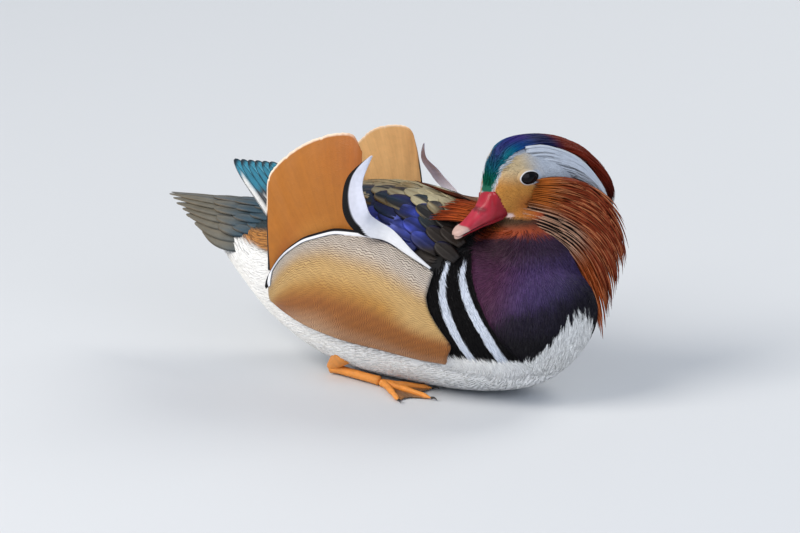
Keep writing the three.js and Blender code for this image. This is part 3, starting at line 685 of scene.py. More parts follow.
def sewBake(skin):
    # faces that cross the edge of the unwrap keep together on one side of it
    layer = skin.data.uv_layers["OFBake"]
    uv = readAll(layer.data, "uv", 2)
    for polygon in skin.data.polygons:
        part = uv[polygon.loop_start:polygon.loop_start + polygon.loop_total]
        if np.ptp(part[:, 0]) > 0.3 or np.ptp(part[:, 1]) > 0.15:
            part[:] = part[0] + (part - part.mean(0)) * 0.004
    layer.data.foreach_set("uv", uv.ravel())


def lieOfCoat(p):
    # away from the bill over the head, down from the neck over the breast, and back along the body
    back, side, up = toHead(p)
    x, z = p[..., 0], p[..., 2]
    rise = 0.9 * soft(5, -1, back) - 0.5 * soft(26, 44, back)
    overHead = headDirection(1, 0, -0.12) + headDirection(0, 0, 1) * rise[..., None]
    fromNeck = unit(p - np.array([70, 4, 100.0]))
    rearward = np.stack([-1 + 0 * x, 0 * x, -0.06 + 1.3 * soft(-76, -112, x)], -1)
    overBody = blend(fromNeck, rearward, soft(84, 48, x)[..., None])
    slope = (barEdge(z - 4, 2) - barEdge(z + 4, 2)) / 8
    alongBars = np.stack([slope, 0 * z, -1 + 0 * z], -1)
    overBody = blend(overBody, unit(alongBars), inBars(p)[..., None])
    return unit(blend(overBody, overHead, headShare(p)[..., None]))


print("skin")
skin, hide = makeSkin()


# Effects shared by several materials, as node groups

fullTurn = 6.2832


def place(tree, kind, links=None, **settings):
    made = tree.nodes.new(kind)
    for key, value in settings.items():
        setattr(made, key, value)
    for key, value in (links or {}).items():
        if isinstance(value, bpy.types.NodeSocket):
            tree.links.new(value, made.inputs[key])
        else:
            made.inputs[key].default_value = value
    return made


def maths(tree, operation, a, b=0.0, c=0.0):
    return place(tree, "ShaderNodeMath", {0: a, 1: b, 2: c}, operation=operation).outputs[0]


def startGroup(name, values, results):
    group = bpy.data.node_groups.new(name, "ShaderNodeTree")
    for socketName, value in values.items():
        made = group.interface.new_socket(name=socketName, in_out="INPUT", socket_type="NodeSocketFloat")
        made.default_value = value
    for socketName in results:
        group.interface.new_socket(name=socketName, in_out="OUTPUT", socket_type="NodeSocketFloat")
    return group, group.nodes.new("NodeGroupInput").outputs, group.nodes.new("NodeGroupOutput").inputs


def makeBarbs():
    # fine slanting barbs on each side of the shaft, and a soft mottle between them
    group, given, out = startGroup(
        "featherBarbs", {"Count": 40.0, "Slant": 0.8, "Contrast": 0.15}, ("Shade", "Height"))
    uv = place(group, "ShaderNodeUVMap", uv_map="Vane")
    parts = place(group, "ShaderNodeSeparateXYZ", {0: uv.outputs[0]}).outputs
    away = maths(group, "ABSOLUTE", maths(group, "SUBTRACT", parts[0], 0.5))
    where = place(group, "ShaderNodeTexCoord").outputs["Object"]
    noise = place(group, "ShaderNodeTexNoise", {"Vector": where, "Scale": 260.0, "Detail": 3.0, "Roughness": 0.6})
    lean = maths(group, "MULTIPLY_ADD", away, given["Slant"], maths(group, "MULTIPLY", parts[1], -1.0))
    stray = maths(group, "MULTIPLY_ADD", noise.outputs[0], 0.05, lean)
    rate = maths(group, "MULTIPLY", given["Count"], fullTurn)
    wave = maths(group, "SINE", maths(group, "MULTIPLY", stray, rate))
    uneven = maths(group, "SUBTRACT", noise.outputs[0], 0.5)
    mixed = maths(group, "MULTIPLY_ADD", wave, 0.5, maths(group, "MULTIPLY", uneven, 2.4))
    group.links.new(maths(group, "MULTIPLY_ADD", mixed, given["Contrast"], 1.0), out["Shade"])
    group.links.new(maths(group, "MULTIPLY_ADD", wave, 0.5, 0.5), out["Height"])
    return group


def makeMottle():
    # uneven tone over a surface, at a coarse and a fine scale
    group, given, out = startGroup("surfaceMottle", {"Scale": 200.0, "Contrast": 0.2}, ("Shade", "Height"))
    where = place(group, "ShaderNodeTexCoord").outputs["Object"]
    coarse = place(group, "ShaderNodeTexNoise", {"Vector": where, "Scale": given["Scale"], "Detail": 4.0})
    fine = place(group, "ShaderNodeTexNoise", {
        "Vector": where, "Scale": maths(group, "MULTIPLY", given["Scale"], 7.0), "Detail": 2.0})
    both = maths(group, "MULTIPLY_ADD", fine.outputs[0], 0.5, coarse.outputs[0])
    centred = maths(group, "SUBTRACT", both, 0.75)
    group.links.new(maths(group, "MULTIPLY_ADD", centred, given["Contrast"], 1.0), out["Shade"])
    group.links.new(both, out["Height"])
    return group


def makeWavyLines():
    # the fine wavy lines of the flank; the map Lines holds centimetres along and down from the top edge
    group, given, out = startGroup("wavyLines", {"Every": 0.11, "Warp": 0.06}, ("Line", "Down"))
    at = place(group, "ShaderNodeUVMap", uv_map="Lines").outputs[0]
    parts = place(group, "ShaderNodeSeparateXYZ", {0: at}).outputs
    warp = place(group, "ShaderNodeTexNoise", {"Vector": at, "Scale": 4.5, "Detail": 2.0, "Roughness": 0.7})
    bend = place(group, "ShaderNodeTexNoise", {"Vector": at, "Scale": 1.1, "Detail": 1.0})
    sway = maths(group, "MULTIPLY", maths(group, "SUBTRACT", warp.outputs[0], 0.5), given["Warp"])
    turn = maths(group, "MULTIPLY", maths(group, "SUBTRACT", bend.outputs[0], 0.5), 0.5)
    rate = maths(group, "DIVIDE", fullTurn, given["Every"])

    def stripes(across, along):
        wiggle = maths(group, "MULTIPLY", maths(group, "SINE", maths(group, "MULTIPLY", along, 21.0)), 0.018)
        shifted = maths(group, "ADD", maths(group, "ADD", across, wiggle), maths(group, "ADD", sway, turn))
        return maths(group, "SINE", maths(group, "MULTIPLY", shifted, rate))

    share = place(group, "ShaderNodeMapRange", {0: parts[1], 1: 2.4, 2: 4.2}, interpolation_type="SMOOTHSTEP")
    level, upright = stripes(parts[1], parts[0]), stripes(parts[0], parts[1])
    kept = maths(group, "MULTIPLY", level, maths(group, "SUBTRACT", 1.0, share.outputs[0]))
    lines = maths(group, "MULTIPLY_ADD", upright, share.outputs[0], kept)
    edged = place(group, "ShaderNodeMapRange", {0: lines, 1: -0.1, 2: 0.75}, interpolation_type="SMOOTHSTEP")
    group.links.new(edged.outputs[0], out["Line"])
    group.links.new(parts[1], out["Down"])
    return group


barbs, mottle, wavyLines = makeBarbs(), makeMottle(), makeWavyLines()


def startMaterial(name, values):
    material = bpy.data.materials.new(name)
    material.use_nodes = True
    tree = material.node_tree
    shader = tree.nodes["Principled BSDF"]
    for key, value in values.items():
        shader.inputs[key].default_value = value
    return material, tree, shader


def startPainted(name, values):
    # a material for a mesh that carries its colours
    material, tree, shader = startMaterial(name, values)
    return material, tree, shader, place(tree, "ShaderNodeAttribute", attribute_name="plumage").outputs["Color"]


def finishMaterial(tree, shader, colour, rough, bump):
    # bump is its strength, distance in metres and height
    tree.links.new(colour, shader.inputs["Base Color"])
    tree.links.new(rough, shader.inputs["Roughness"])
    made = place(tree, "ShaderNodeBump", dict(zip(("Strength", "Distance", "Height"), bump)))
    tree.links.new(made.outputs[0], shader.inputs["Normal"])


def useGroup(tree, group, values):
    made = place(tree, "ShaderNodeGroup", node_tree=group)
    for key, value in values.items():
        made.inputs[key].default_value = value
    return made.outputs


def scaleColour(tree, colour, shade):
    return place(tree, "ShaderNodeVectorMath", {0: colour, "Scale": shade}, operation="SCALE").outputs[0]


def plumeMaterial(name, look):
    # barbs and mottle over the colours painted on the mesh
    material, tree, shader, painted = startPainted(name, {
        "Metallic": look.get("metal", 0.0), "Sheen Weight": look.get("sheen", 0.15), "Sheen Roughness": 0.4,
        "Specular IOR Level": look.get("specular", 0.35)})
    fine = useGroup(tree, barbs, {
        "Count": look["barbs"], "Slant": look.get("slant", 0.8), "Contrast": look["contrast"]})
    broad = useGroup(tree, mottle, {"Scale": look.get("mottle", 150.0), "Contrast": look.get("tone", 0.25)})
    colour = scaleColour(tree, scaleColour(tree, painted, fine["Shade"]), broad["Shade"])
    rough = maths(tree, "MULTIPLY_ADD", broad["Height"], 0.12, look["rough"] - 0.09)
    height = maths(tree, "MULTIPLY_ADD", broad["Height"], 0.35, fine["Height"])
    finishMaterial(tree, shader, colour, rough, (look.get("bump", 0.35), 0.00012, height))
    return material


def flankMaterial(name, look):
    # buff, with wavy lines that are black on grey at the top, faint in the middle and brown below
    material, tree, shader, painted = startPainted(name, {
        "Sheen Weight": 0.2, "Sheen Roughness": 0.4, "Specular IOR Level": 0.3})
    lines = useGroup(tree, wavyLines, {"Every": look["every"], "Warp": look["warp"]})
    broad = useGroup(tree, mottle, {"Scale": 140.0, "Contrast": 0.2})
    fine = useGroup(tree, barbs, {"Count": 16.0, "Contrast": 0.1})
    down = maths(tree, "MULTIPLY", lines["Down"], look["perCentimetre"])
    strength = place(tree, "ShaderNodeValToRGB", {0: down})
    ramp = strength.color_ramp
    for position, value in look["strength"]:
        ramp.elements.new(position).color = (value, value, value, 1)
    ramp.elements.remove(ramp.elements[0])
    ramp.elements.remove(ramp.elements[-1])
    dark = place(tree, "ShaderNodeValToRGB", {0: down})
    for element, value in zip(dark.color_ramp.elements, look["lineColours"]):
        element.color = (*linear(value), 1)
    dark.color_ramp.elements[1].position = look["brownFrom"]
    share = maths(tree, "MULTIPLY", lines["Line"], strength.outputs[0])
    mixed = place(tree, "ShaderNodeMix", {0: share, 6: painted, 7: dark.outputs[0]}, data_type="RGBA").outputs[2]
    colour = scaleColour(tree, scaleColour(tree, mixed, fine["Shade"]), broad["Shade"])
    rough = maths(tree, "MULTIPLY_ADD", broad["Height"], 0.15, look["rough"])
    finishMaterial(tree, shader, colour, rough, (0.25, 0.0001, fine["Height"]))
    return material


def hornMaterial(name, look):
    # bill, lids, legs and webs: painted colours with fine mottle and pores
    material, tree, shader, painted = startPainted(name, {
        "Specular IOR Level": look.get("specular", 0.5), "Coat Weight": look.get("coat", 0.0),
        "Coat Roughness": 0.2, "IOR": 1.5})
    broad = useGroup(tree, mottle, {"Scale": look["mottle"], "Contrast": look["contrast"]})
    height = broad["Height"]
    rough = maths(tree, "MULTIPLY_ADD", height, 0.25, look["rough"] - 0.15)
    if "scutes" in look:
        where = place(tree, "ShaderNodeTexCoord").outputs["Object"]
        cells = place(tree, "ShaderNodeTexVoronoi", {"Vector": where, "Scale": look["scutes"]},
                      feature="DISTANCE_TO_EDGE")
        ridge = place(tree, "ShaderNodeMapRange", {0: cells.outputs["Distance"], 1: 0.0, 2: 0.12})
        height = maths(tree, "MULTIPLY_ADD", height, 0.2, ridge.outputs[0])
    finishMaterial(tree, shader, scaleColour(tree, painted, broad["Shade"]), rough, (look["bump"], 0.0002, height))
    return material


# barbs across a vane, contrast between them, roughness; then what differs from plumeMaterial's own values
plumes = {
    "skin": {"name": "underDown", "barbs": 6.0, "contrast": 0.1, "rough": 0.8, "sheen": 0.05},
    "breast": {"name": "silkyBreast", "barbs": 9.0, "contrast": 0.2, "rough": 0.5, "sheen": 0.0,
               "specular": 0.18, "tone": 0.35},
    "white": {"name": "whiteDown", "barbs": 12.0, "contrast": 0.06, "rough": 0.75, "sheen": 0.05, "tone": 0.1},
    "bars": {"name": "silkyBars", "barbs": 12.0, "contrast": 0.1, "rough": 0.7, "sheen": 0.0,
             "specular": 0.12, "tone": 0.12},
    "face": {"name": "velvetFace", "barbs": 4.0, "contrast": 0.08, "rough": 0.7, "sheen": 0.04, "tone": 0.12},
    "rust": {"name": "rustHackle", "barbs": 60.0, "contrast": 0.25, "rough": 0.55, "slant": 0.25,
             "tone": 0.3, "sheen": 0.0, "specular": 0.15},
    "crown": {"name": "silkCrown", "barbs": 30.0, "contrast": 0.15, "rough": 0.42, "slant": 0.2,
              "specular": 0.1, "tone": 0.3, "sheen": 0.0},
    "gloss": {"name": "glossVane", "barbs": 46.0, "contrast": 0.2, "rough": 0.4, "specular": 0.3,
              "metal": 0.15, "tone": 0.4, "sheen": 0.0, "bump": 0.25},
    "sail": {"name": "sailVane", "barbs": 84.0, "contrast": 0.09, "rough": 0.55, "slant": 0.16,
             "tone": 0.16, "mottle": 60.0, "sheen": 0.03, "bump": 0.25},
    "scapular": {"name": "whiteScapular", "barbs": 90.0, "contrast": 0.05, "rough": 0.6, "tone": 0.1,
                 "sheen": 0.0, "specular": 0.15},
    "tail": {"name": "tailVane", "barbs": 70.0, "contrast": 0.15, "rough": 0.45, "tone": 0.4, "sheen": 0.02},
}
looks = {key: plumeMaterial(look["name"], look) for key, look in plumes.items()}
looks["flank"] = flankMaterial("wavyFlank", {
    "every": 0.11, "warp": 0.09, "rough": 0.5, "perCentimetre": 0.14, "brownFrom": 0.35,
    "strength": [(0.0, 0.85), (0.2, 0.7), (0.32, 0.35), (0.45, 0.45), (0.55, 0.75)],
    "lineColours": [(46, 40, 40), (104, 56, 22)]})


# The small feathers of the body and head. Where a coat has parts, each part is a piece of its own.

coats = {
    "breastCoat": {"spacing": 0.86, "long": 8.5, "wide": 1.5, "thick": 0.22, "lift": 0.4, "rows": 3, "seed": 11,
                   "look": "breast", "tone": 0.13},
    "barCoat": {"spacing": 0.72, "long": 7.5, "wide": 1.15, "thick": 0.2, "lift": 0.6, "rows": 3, "seed": 16,
                "look": "bars", "tone": 0.05},
    "bellyCoat": {"spacing": 1.5, "long": 10, "wide": 3.6, "thick": 0.22, "lift": 0.35, "rows": 3, "seed": 12,
                  "look": "white", "tone": 0.03},
    "rearCoat": {"spacing": 1.15, "long": 8, "wide": 2.3, "thick": 0.25, "lift": 0.5, "rows": 3, "seed": 13,
                 "look": "white", "tone": 0.04},
    "neckCoat": {"spacing": 0.95, "long": 7, "wide": 1.2, "thick": 0.3, "lift": 1.0, "rows": 4, "seed": 14,
                 "look": "rust", "tone": 0.3},
    "faceCoat": {"spacing": 0.62, "long": 2.7, "wide": 0.8, "thick": 0.14, "lift": 0.3, "rows": 3, "seed": 15,
                 "look": "face", "tone": 0.04},
    "crownCoat": {"spacing": 0.7, "long": 7, "wide": 1.0, "thick": 0.25, "lift": 0.9, "rows": 4, "seed": 17,
                  "look": "crown", "tone": 0.2},
}
lowestTuft = 0.75


def underWing(p):
    x, angle = p[..., 0], torsoAngle(p)
    return (x > -68) & (x < 34) & (angle > 5) & (angle < 101)


def onHead(p):
    back, side, up = toHead(p)
    underBill = (back < tabled(up, face["margin"]) - 0.3) & (up < 2.5) & (up > -14.5)
    return (headShare(p) > 0.5) & ~underBill & (p[..., 2] > 90)


def onFace(p):
    back, side, up = toHead(p)
    inEye = (eyeReach(back, up) < 1.12) & (np.abs(side) > 7)
    return onHead(p) & ~inEye & (up < crestEdge(back) + 0.3)


def onCrown(p):
    back, side, up = toHead(p)
    return onHead(p) & (up >= crestEdge(back) + 0.3) & (back < 24)


def onNeck(p):
    return (headShare(p) <= 0.5) & (aboveThroat(p) > 2) & (p[..., 0] > 38)


def onFront(p):
    return ~onNeck(p) & (headShare(p) <= 0.5) & (p[..., 0] > 33) & (p[..., 2] > 22)


def onBars(p):
    return onFront(p) & (inBars(p) > 0.4)


def onBreast(p):
    return onFront(p) & (inBars(p) < 0.8) & (p[..., 0] > 42)


def onRear(p):
    return (p[..., 0] < -60) & ~underWing(p) & (torsoAngle(p) < 130)


def onBelly(p):
    return ((p[..., 0] >= -60) & (p[..., 2] <= 34) & ~onFront(p)) | ((p[..., 0] < -60) & (torsoAngle(p) >= 126))


def growCoat(name, keep, slotName, part=""):
    coat = coats[name]
    roots = hide.spread(coat["spacing"], lambda p, n: keep(p), coat["seed"])
    rng = np.random.default_rng(coat["seed"])
    count = len(roots)
    v = np.linspace(0, 1, coat["rows"])
    long = coat["long"] * rng.uniform(0.75, 1.2, count)
    lift = coat["lift"] * rng.uniform(0.5, 1.3, count)
    wander = rng.normal(0, 0.07, (count, 3))
    lines, outs = hide.lay(roots, long, v, lambda p: lieOfCoat(p) + wander, lift)
    lines[..., 2] = np.maximum(lines[..., 2], lowestTuft)
    own = plumage(lines[:, coat["rows"] // 2]) * rng.uniform(1 - coat["tone"], 1 + coat["tone"], (count, 1))

    def paint(across, lengthwise, points):
        return own[:, None, None] * (0.86 + 0.2 * lengthwise - 0.16 * np.abs(across))[..., None]

    wide = coat["wide"] * rng.uniform(0.8, 1.2, count)
    piece = feathers(name + part, lines, outs, wide, coat["thick"], tuftRing, pointed, paint, v, cup=0.03)
    dress(piece, looks[coat["look"]], slotName)
    print(name + part, count, "feathers")


dress(skin, looks["skin"], "breast_and_belly", "torso", "neck", "head")
for side, (part, _) in sideNames.items():
    growCoat("breastCoat", lambda p: onBreast(p) & (p[..., 1] * side >= 0), "breast_and_belly", part)
    growCoat("barCoat", lambda p: onBars(p) & (p[..., 1] * side > 0), "breast_and_belly", part)
growCoat("bellyCoat", onBelly, "breast_and_belly")
growCoat("rearCoat", onRear, "breast_and_belly")
growCoat("neckCoat", onNeck, "rust_hackle")
growCoat("faceCoat", onFace, "pale_face")
growCoat("crownCoat", onCrown, "crown_gloss")


# Flanks: a smooth pad, its small feathers, and the black and white line along its upper and rear edge

flank = {
    "front": 38, "rear": -70, "low": 112, "lowRear": 100, "tilt": 20, "tiltFrom": 0.22, "tiltTo": 0.8,
    "corner": 7, "deep": 60, "lift": 1.6, "crown": 3.4, "under": 0.8, "sunk": 4.5, "cells": (50, 64),
    "cmPerDegree": 0.095,
    "coat": {"spacing": 1.45, "long": 8.5, "wide": 3.6, "thick": 0.22, "lift": 0.45, "rows": 3, "seed": 31},
    "trim": {"from": 2, "corner": 6, "down": 27, "thick": 3.2, "outside": 1.5, "rise": 1.4, "cells": (16, 200),
             "wide": [(-71, 3.8), (-30, 3.4), (-14, 2.6), (-4, 2.0), (2, 0.9), (38, 0.8)]},
    "top": (190, 180, 168), "buff": (190, 156, 100), "gold": (176, 130, 60), "brown": (150, 92, 38),
    "rearLow": (206, 166, 128), "trimWhite": (236, 238, 244), "trimBlack": (12, 11, 15),
}


def flankPoint(side, u, v, more=0.0):
    # u down from the top edge, v back from the front edge
    x0 = blend(flank["front"], flank["rear"], v)
    angle = blend(flankAngle(x0), blend(flank["low"], flank["lowRear"], np.maximum(v, 0) ** 3), u)
    ahead = np.maximum(1 - v, 0)
    x = x0 + flank["tilt"] * soft(flank["tiltFrom"], flank["tiltTo"], u) * ahead ** 1.5
    x = x - flank["corner"] * soft(0.6, 1.05, u) * ahead ** 6
    rim = np.sin(np.pi * np.clip(u, 0.04, 0.96)) * np.sin(np.pi * np.clip(v, 0.03, 0.97))
    return torsoPoint(x, side * angle, flank["lift"] + flank["crown"] * rim ** 0.5 + more)


def flankPlace(p):
    # centimetres back from the front edge, and down from the top edge
    x = p[..., 0]
    return np.stack([(flank["front"] - x) / 10, (torsoAngle(p) - flankAngle(x)) * flank["cmPerDegree"]], -1)


def flankColour(p):
    along, down = np.moveaxis(flankPlace(p), -1, 0)
    return over(
        plain(flank["top"], down), flank,
        ("buff", soft(0.7, 2.0, down + 0.35 * soft(4, 9, along))),
        ("gold", soft(1.9, 3.2, down) * soft(0.3, 2.5, along)),
        ("brown", soft(2.8, 4.2, down + 0.06 * along)),
        ("rearLow", 0.6 * soft(3.8, 5.2, down) * soft(4, 8, along) + 0.35 * soft(4.8, 5.8, down)))


def trimPoint(side, across, along, more):
    # a ribbon back along the flank's top edge, round the corner and down its rear edge
    trim = flank["trim"]
    r, length = trim["corner"], flank["front"] - flank["rear"]
    straight, bend = length - r - trim["from"], r * np.pi / 2
    s = along * (straight + bend + trim["down"] - r)
    turn = np.clip((s - straight) / bend, 0, 1) * np.pi / 2
    back = np.minimum(trim["from"] + s, length - r) + r * np.sin(turn)
    down = r * (1 - np.cos(turn)) + np.maximum(s - straight - bend, 0)
    inward = across * tabled(flank["front"] - back, trim["wide"]) - trim["outside"]
    back, down = back - inward * np.sin(turn), down + inward * np.cos(turn)
    end = soft(0, 0.03, along) * soft(1, 0.93, along)
    return flankPoint(side, down / flank["deep"], back / length, (trim["rise"] + more) * end - 0.4)


def trimColour(u, v, p, shown):
    edge = soft(0.58, 0.52, u) * soft(0, -5, p[..., 0])
    inner = 0.8 * soft(0.88, 0.94, u) * soft(-20, -28, p[..., 0])
    return toward(plain(flank["trimWhite"], u), flank["trimBlack"], np.maximum(edge, inner))


def makeFlank(side):
    name, end = sideNames[side]
    # the pad, seen between the tufts, is painted a little darker as shade under them
    pad = slab("flankPad" + name, lambda u, v: flankPoint(side, u, v, -flank["under"]),
               lambda u, v: flankPoint(side, u, v, -flank["sunk"]), flank["cells"],
               lambda u, v, p, shown: flankColour(p) * 0.9)
    points, triangles = meshTriangles(pad)
    addLines(pad, flankPlace(points))
    surface, centre = Surface(points, triangles), points.mean(0)

    def outside(p, n):
        return np.sum(n * (p - centre), -1) * (np.abs(n[:, 1]) > 0.2) > 0

    coat = flank["coat"]
    rng = np.random.default_rng(coat["seed"])
    roots = surface.spread(coat["spacing"], outside, coat["seed"])
    roots = roots[torsoAngle(roots) < flank["low"] + 2]
    count = len(roots)
    v = np.linspace(0, 1, coat["rows"])
    wander = rng.normal(0, 0.05, (count, 3))
    lines, outs = surface.lay(
        roots, coat["long"] * rng.uniform(0.8, 1.15, count), v, lambda p: np.array([-1, 0, 0.1]) + wander,
        coat["lift"] * rng.uniform(0.6, 1.2, count))
    tone = rng.uniform(0.95, 1.05, (count, 1, 1, 1))
    made = feathers("flankCoat" + name, lines, outs, coat["wide"], coat["thick"], tuftRing, pointed,
                    lambda across, lengthwise, p: flankColour(p) * tone, v, cup=0.03)
    addLines(made, flankPlace(meshTriangles(made)[0]))
    for piece in (pad, made):
        dress(piece, looks["flank"], "flank_buff", "flank_" + end)
    trim = flank["trim"]
    ribbon = slab("flankTrim" + name, lambda u, v: trimPoint(side, u, v, -0.6 * (2 * u - 1) ** 2 - 0.8 * u),
                  lambda u, v: trimPoint(side, u, v, -trim["thick"]), trim["cells"], trimColour)
    dress(ribbon, looks["scapular"], "flank_buff")


def addLines(piece, at):
    layer = piece.data.uv_layers.new(name="Lines")
    corners = readAll(piece.data.loops, "vertex_index", kind=np.int32)
    layer.data.foreach_set("uv", at[corners].astype(np.float32).ravel())


for side in (1, -1):
    makeFlank(side)
print("flanks")


# Wings: a dark pad over the folded wing, rows of scapulars and coverts on it, and the folded primaries

wing = {
    "front": 44, "rear": -74, "inner": 3, "outer": 62, "overFlank": 12, "under": 0.8, "cells": (30, 48),
    "seed": 41, "rows": 13,
    # rows of vanes: angle of each, and where along the body they stand; long and wide by x
    "angles": (3.5, 8.5, 14.5, 20.5, 26.5, 32.5, 38.5), "every": 10.5, "first": 46, "last": -58, "clear": 5,
    "long": [(-60, 40), (-20, 36), (15, 27), (47, 15)], "wide": [(-60, 15), (-20, 15), (15, 14), (47, 10)],
    # violet is the colour of the middles of the painted highlights on the blue
    "blue": (34, 58, 178), "violet": (150, 160, 226), "deep": (10, 12, 26), "olive": (128, 112, 80),
    "pale": (170, 162, 132), "bronze": (50, 38, 28), "brown": (28, 23, 21), "teal": (18, 46, 58),
    "dark": (12, 11, 14),
    "thick": 0.25, "cup": 0.015, "tucked": 26, "stack": 0.32,
    # painted highlights on the blue: x, angle, reach of each, how violet
    "paintedHighlights": ((2, 32, 8, 5, 1.0), (15, 27, 7, 4, 0.2), (16, 40, 9, 6, 0.45), (31, 47, 9, 5, 0.0),
               (-10, 36, 7, 7, 0.3)),
    # where the blue begins, by x, and how much further out it does on the left
    "blueFrom": [(-40, 15), (-8, 16), (6, 19), (16, 25), (26, 33), (36, 41), (44, 46)], "leftShift": 12,
    "oliveTo": 14,
}
primaries = {
    "count": 6, "rows": 25, "wide": 12.5, "thick": 0.9, "sunk": (12, 8), "outward": (-0.25, 1, 0.1), "arch": 3,
    "roots": ((-54, 36, 66), (-48, 27, 81)), "tips": ((-119, 9, 108.5), (-84, 23, 115.5)),
    "teal": (44, 124, 150), "edge": (12, 34, 46), "vane": (60, 62, 66), "white": (240, 240, 238),
}


def wingReach(x):
    return np.minimum(flankAngle(x) + wing["overFlank"], wing["outer"])


def wingLift(x, angle):
    v = (wing["front"] - x) / (wing["front"] - wing["rear"])
    u = np.clip((angle - wing["inner"]) / (wingReach(x) - wing["inner"]), 0, 1)
    return 1.3 + 1.2 * np.sin(np.pi * np.clip(v + 0.15, 0, 1)) * np.minimum(1, 4 * u) - wing["under"]


def wingColour(x, angle, u, v, side, tone):
    # blue with painted violet-white highlights outside, olive along the back, dark brown at the shoulder
    blue = soft(-2.5, 2.5, angle - tabled(x, wing["blueFrom"]) - (wing["leftShift"] if side > 0 else 0))
    onBack = soft(1, -1, angle - wing["oliveTo"]) * soft(34, 14, x)
    colour = over(
        plain(wing["brown"], blue), wing,
        ("teal", 0.6 * soft(34, 12, x) * soft(0.3, 0.8, tone)),
        ("bronze", 0.5 * soft(0.6, 0.1, tone)),
        ("olive", onBack),
        ("pale", 0.75 * onBack * soft(0.2, 0.6, tone + 0.4 * ripple(x / 6, angle / 2, 1))),
        ("dark", 0.9 * soft(1.9, 1, np.abs(angle - wing["oliveTo"] - 0.8)) * soft(28, 12, x)))
    # painted highlights: the blue comes up from near black only in these bright places, violet-white at their
    # middles
    bright, glow = 0.18, 0.0
    for atX, atAngle, longReach, reach, violet in wing["paintedHighlights"]:
        near = np.exp(-((x - atX) / longReach) ** 2 - ((angle - atAngle - 0.2 * (x - atX)) / reach) ** 2)
        bright = np.maximum(bright, near)
        glow = np.maximum(glow, violet * near ** 2)
    streaks = 0.75 + 0.25 * ripple(x / 5 + angle / 2, angle / 1.2, 3) + 0.3 * (tone - 0.5)
    inBlue = over(
        plain(wing["deep"], blue), wing,
        ("blue", np.clip(bright * streaks * soft(-0.2, 0.3, v), 0, 1)),
        ("violet", np.clip(0.75 * glow * streaks ** 3, 0, 1)),
        ("teal", 0.8 * np.maximum(soft(-14, -30, x), soft(24, 18, angle) * soft(8, -4, x))))
    shaft = 0.25 * (np.abs(u) < 0.03)
    return blend(colour, inBlue, blue[..., None]) * (1 - shaft)[..., None]


def makeWingPad(side):
    name, end = sideNames[side]

    def padAngle(u, x):
        outer = wingReach(x) - 34 * soft(14, 32, x) - wing["tucked"] * soft(2, -8, x)
        return blend(wing["inner"], outer, u)

    def padPoint(u, v, outside):
        x = blend(wing["front"], wing["rear"], v)
        angle = padAngle(u, x)
        return torsoPoint(x, side * angle, wingLift(x, angle) if outside else -1.5)

    def padColour(u, v, p, shown):
        x = blend(wing["front"], wing["rear"], v)
        # painted shade: the pad, seen between the vanes, is darker than they are
        return wingColour(x, padAngle(u, x), 0.25 + 0 * u, 0.2 + 0 * v, side, 0 * u) * 0.7

    pad = slab("wingPad" + name, lambda u, v: padPoint(u, v, True), lambda u, v: padPoint(u, v, False),
               wing["cells"], padColour)
    dress(pad, looks["gloss"], "wing_gloss", "wing_" + end)


def makeWingVanes(side):
    name, end = sideNames[side]
    rng = np.random.default_rng(wing["seed"])
    found = []
    for i, angle in enumerate(wing["angles"]):
        row = np.arange(wing["first"] - (i % 2) * wing["every"] / 2, wing["last"], -wing["every"])
        row = row[angle < flankAngle(row) - wing["clear"] - 0.65 * wing["tucked"] * soft(8, -4, row)]
        found.append([row + rng.uniform(-1.6, 1.6, len(row)), angle + rng.uniform(-1.4, 1.4, len(row)),
                      wing["stack"] * (len(wing["angles"]) - i) + 0 * row])
    x0, a0, stack = (np.concatenate(values)[:, None] for values in zip(*found))
    v = alongVane(wing["rows"])
    x = x0 - v * (tabled(x0, wing["long"]) * rng.uniform(0.9, 1.1, x0.shape))
    angle = a0 - 2.6 * v * soft(4, 12, a0)
    lift = wingLift(x0, a0) + stack + 1.3 * v ** 0.8 - 1.2 * (1 - v) ** 4
    spine, outs = lineAndOut(torsoPoint, x, side * angle, lift)
    tone = rng.uniform(0, 1, (len(x0), 1, 1))
    wide = tabled(x0[:, 0], wing["wide"])

    def paint(across, lengthwise, points):
        where = x[:, :, None] + 0 * across, angle[:, :, None] + across * wide[:, None, None]
        return wingColour(*where, across, lengthwise, side, tone) * (0.9 + 0.2 * tone)[..., None]

    made = feathers("wingVanes" + name, spine, outs, wide, wing["thick"], vaneRing, rounded, paint, v,
                    cup=wing["cup"], atlas=True)
    dress(made, looks["gloss"], "wing_gloss", "wing_" + end)


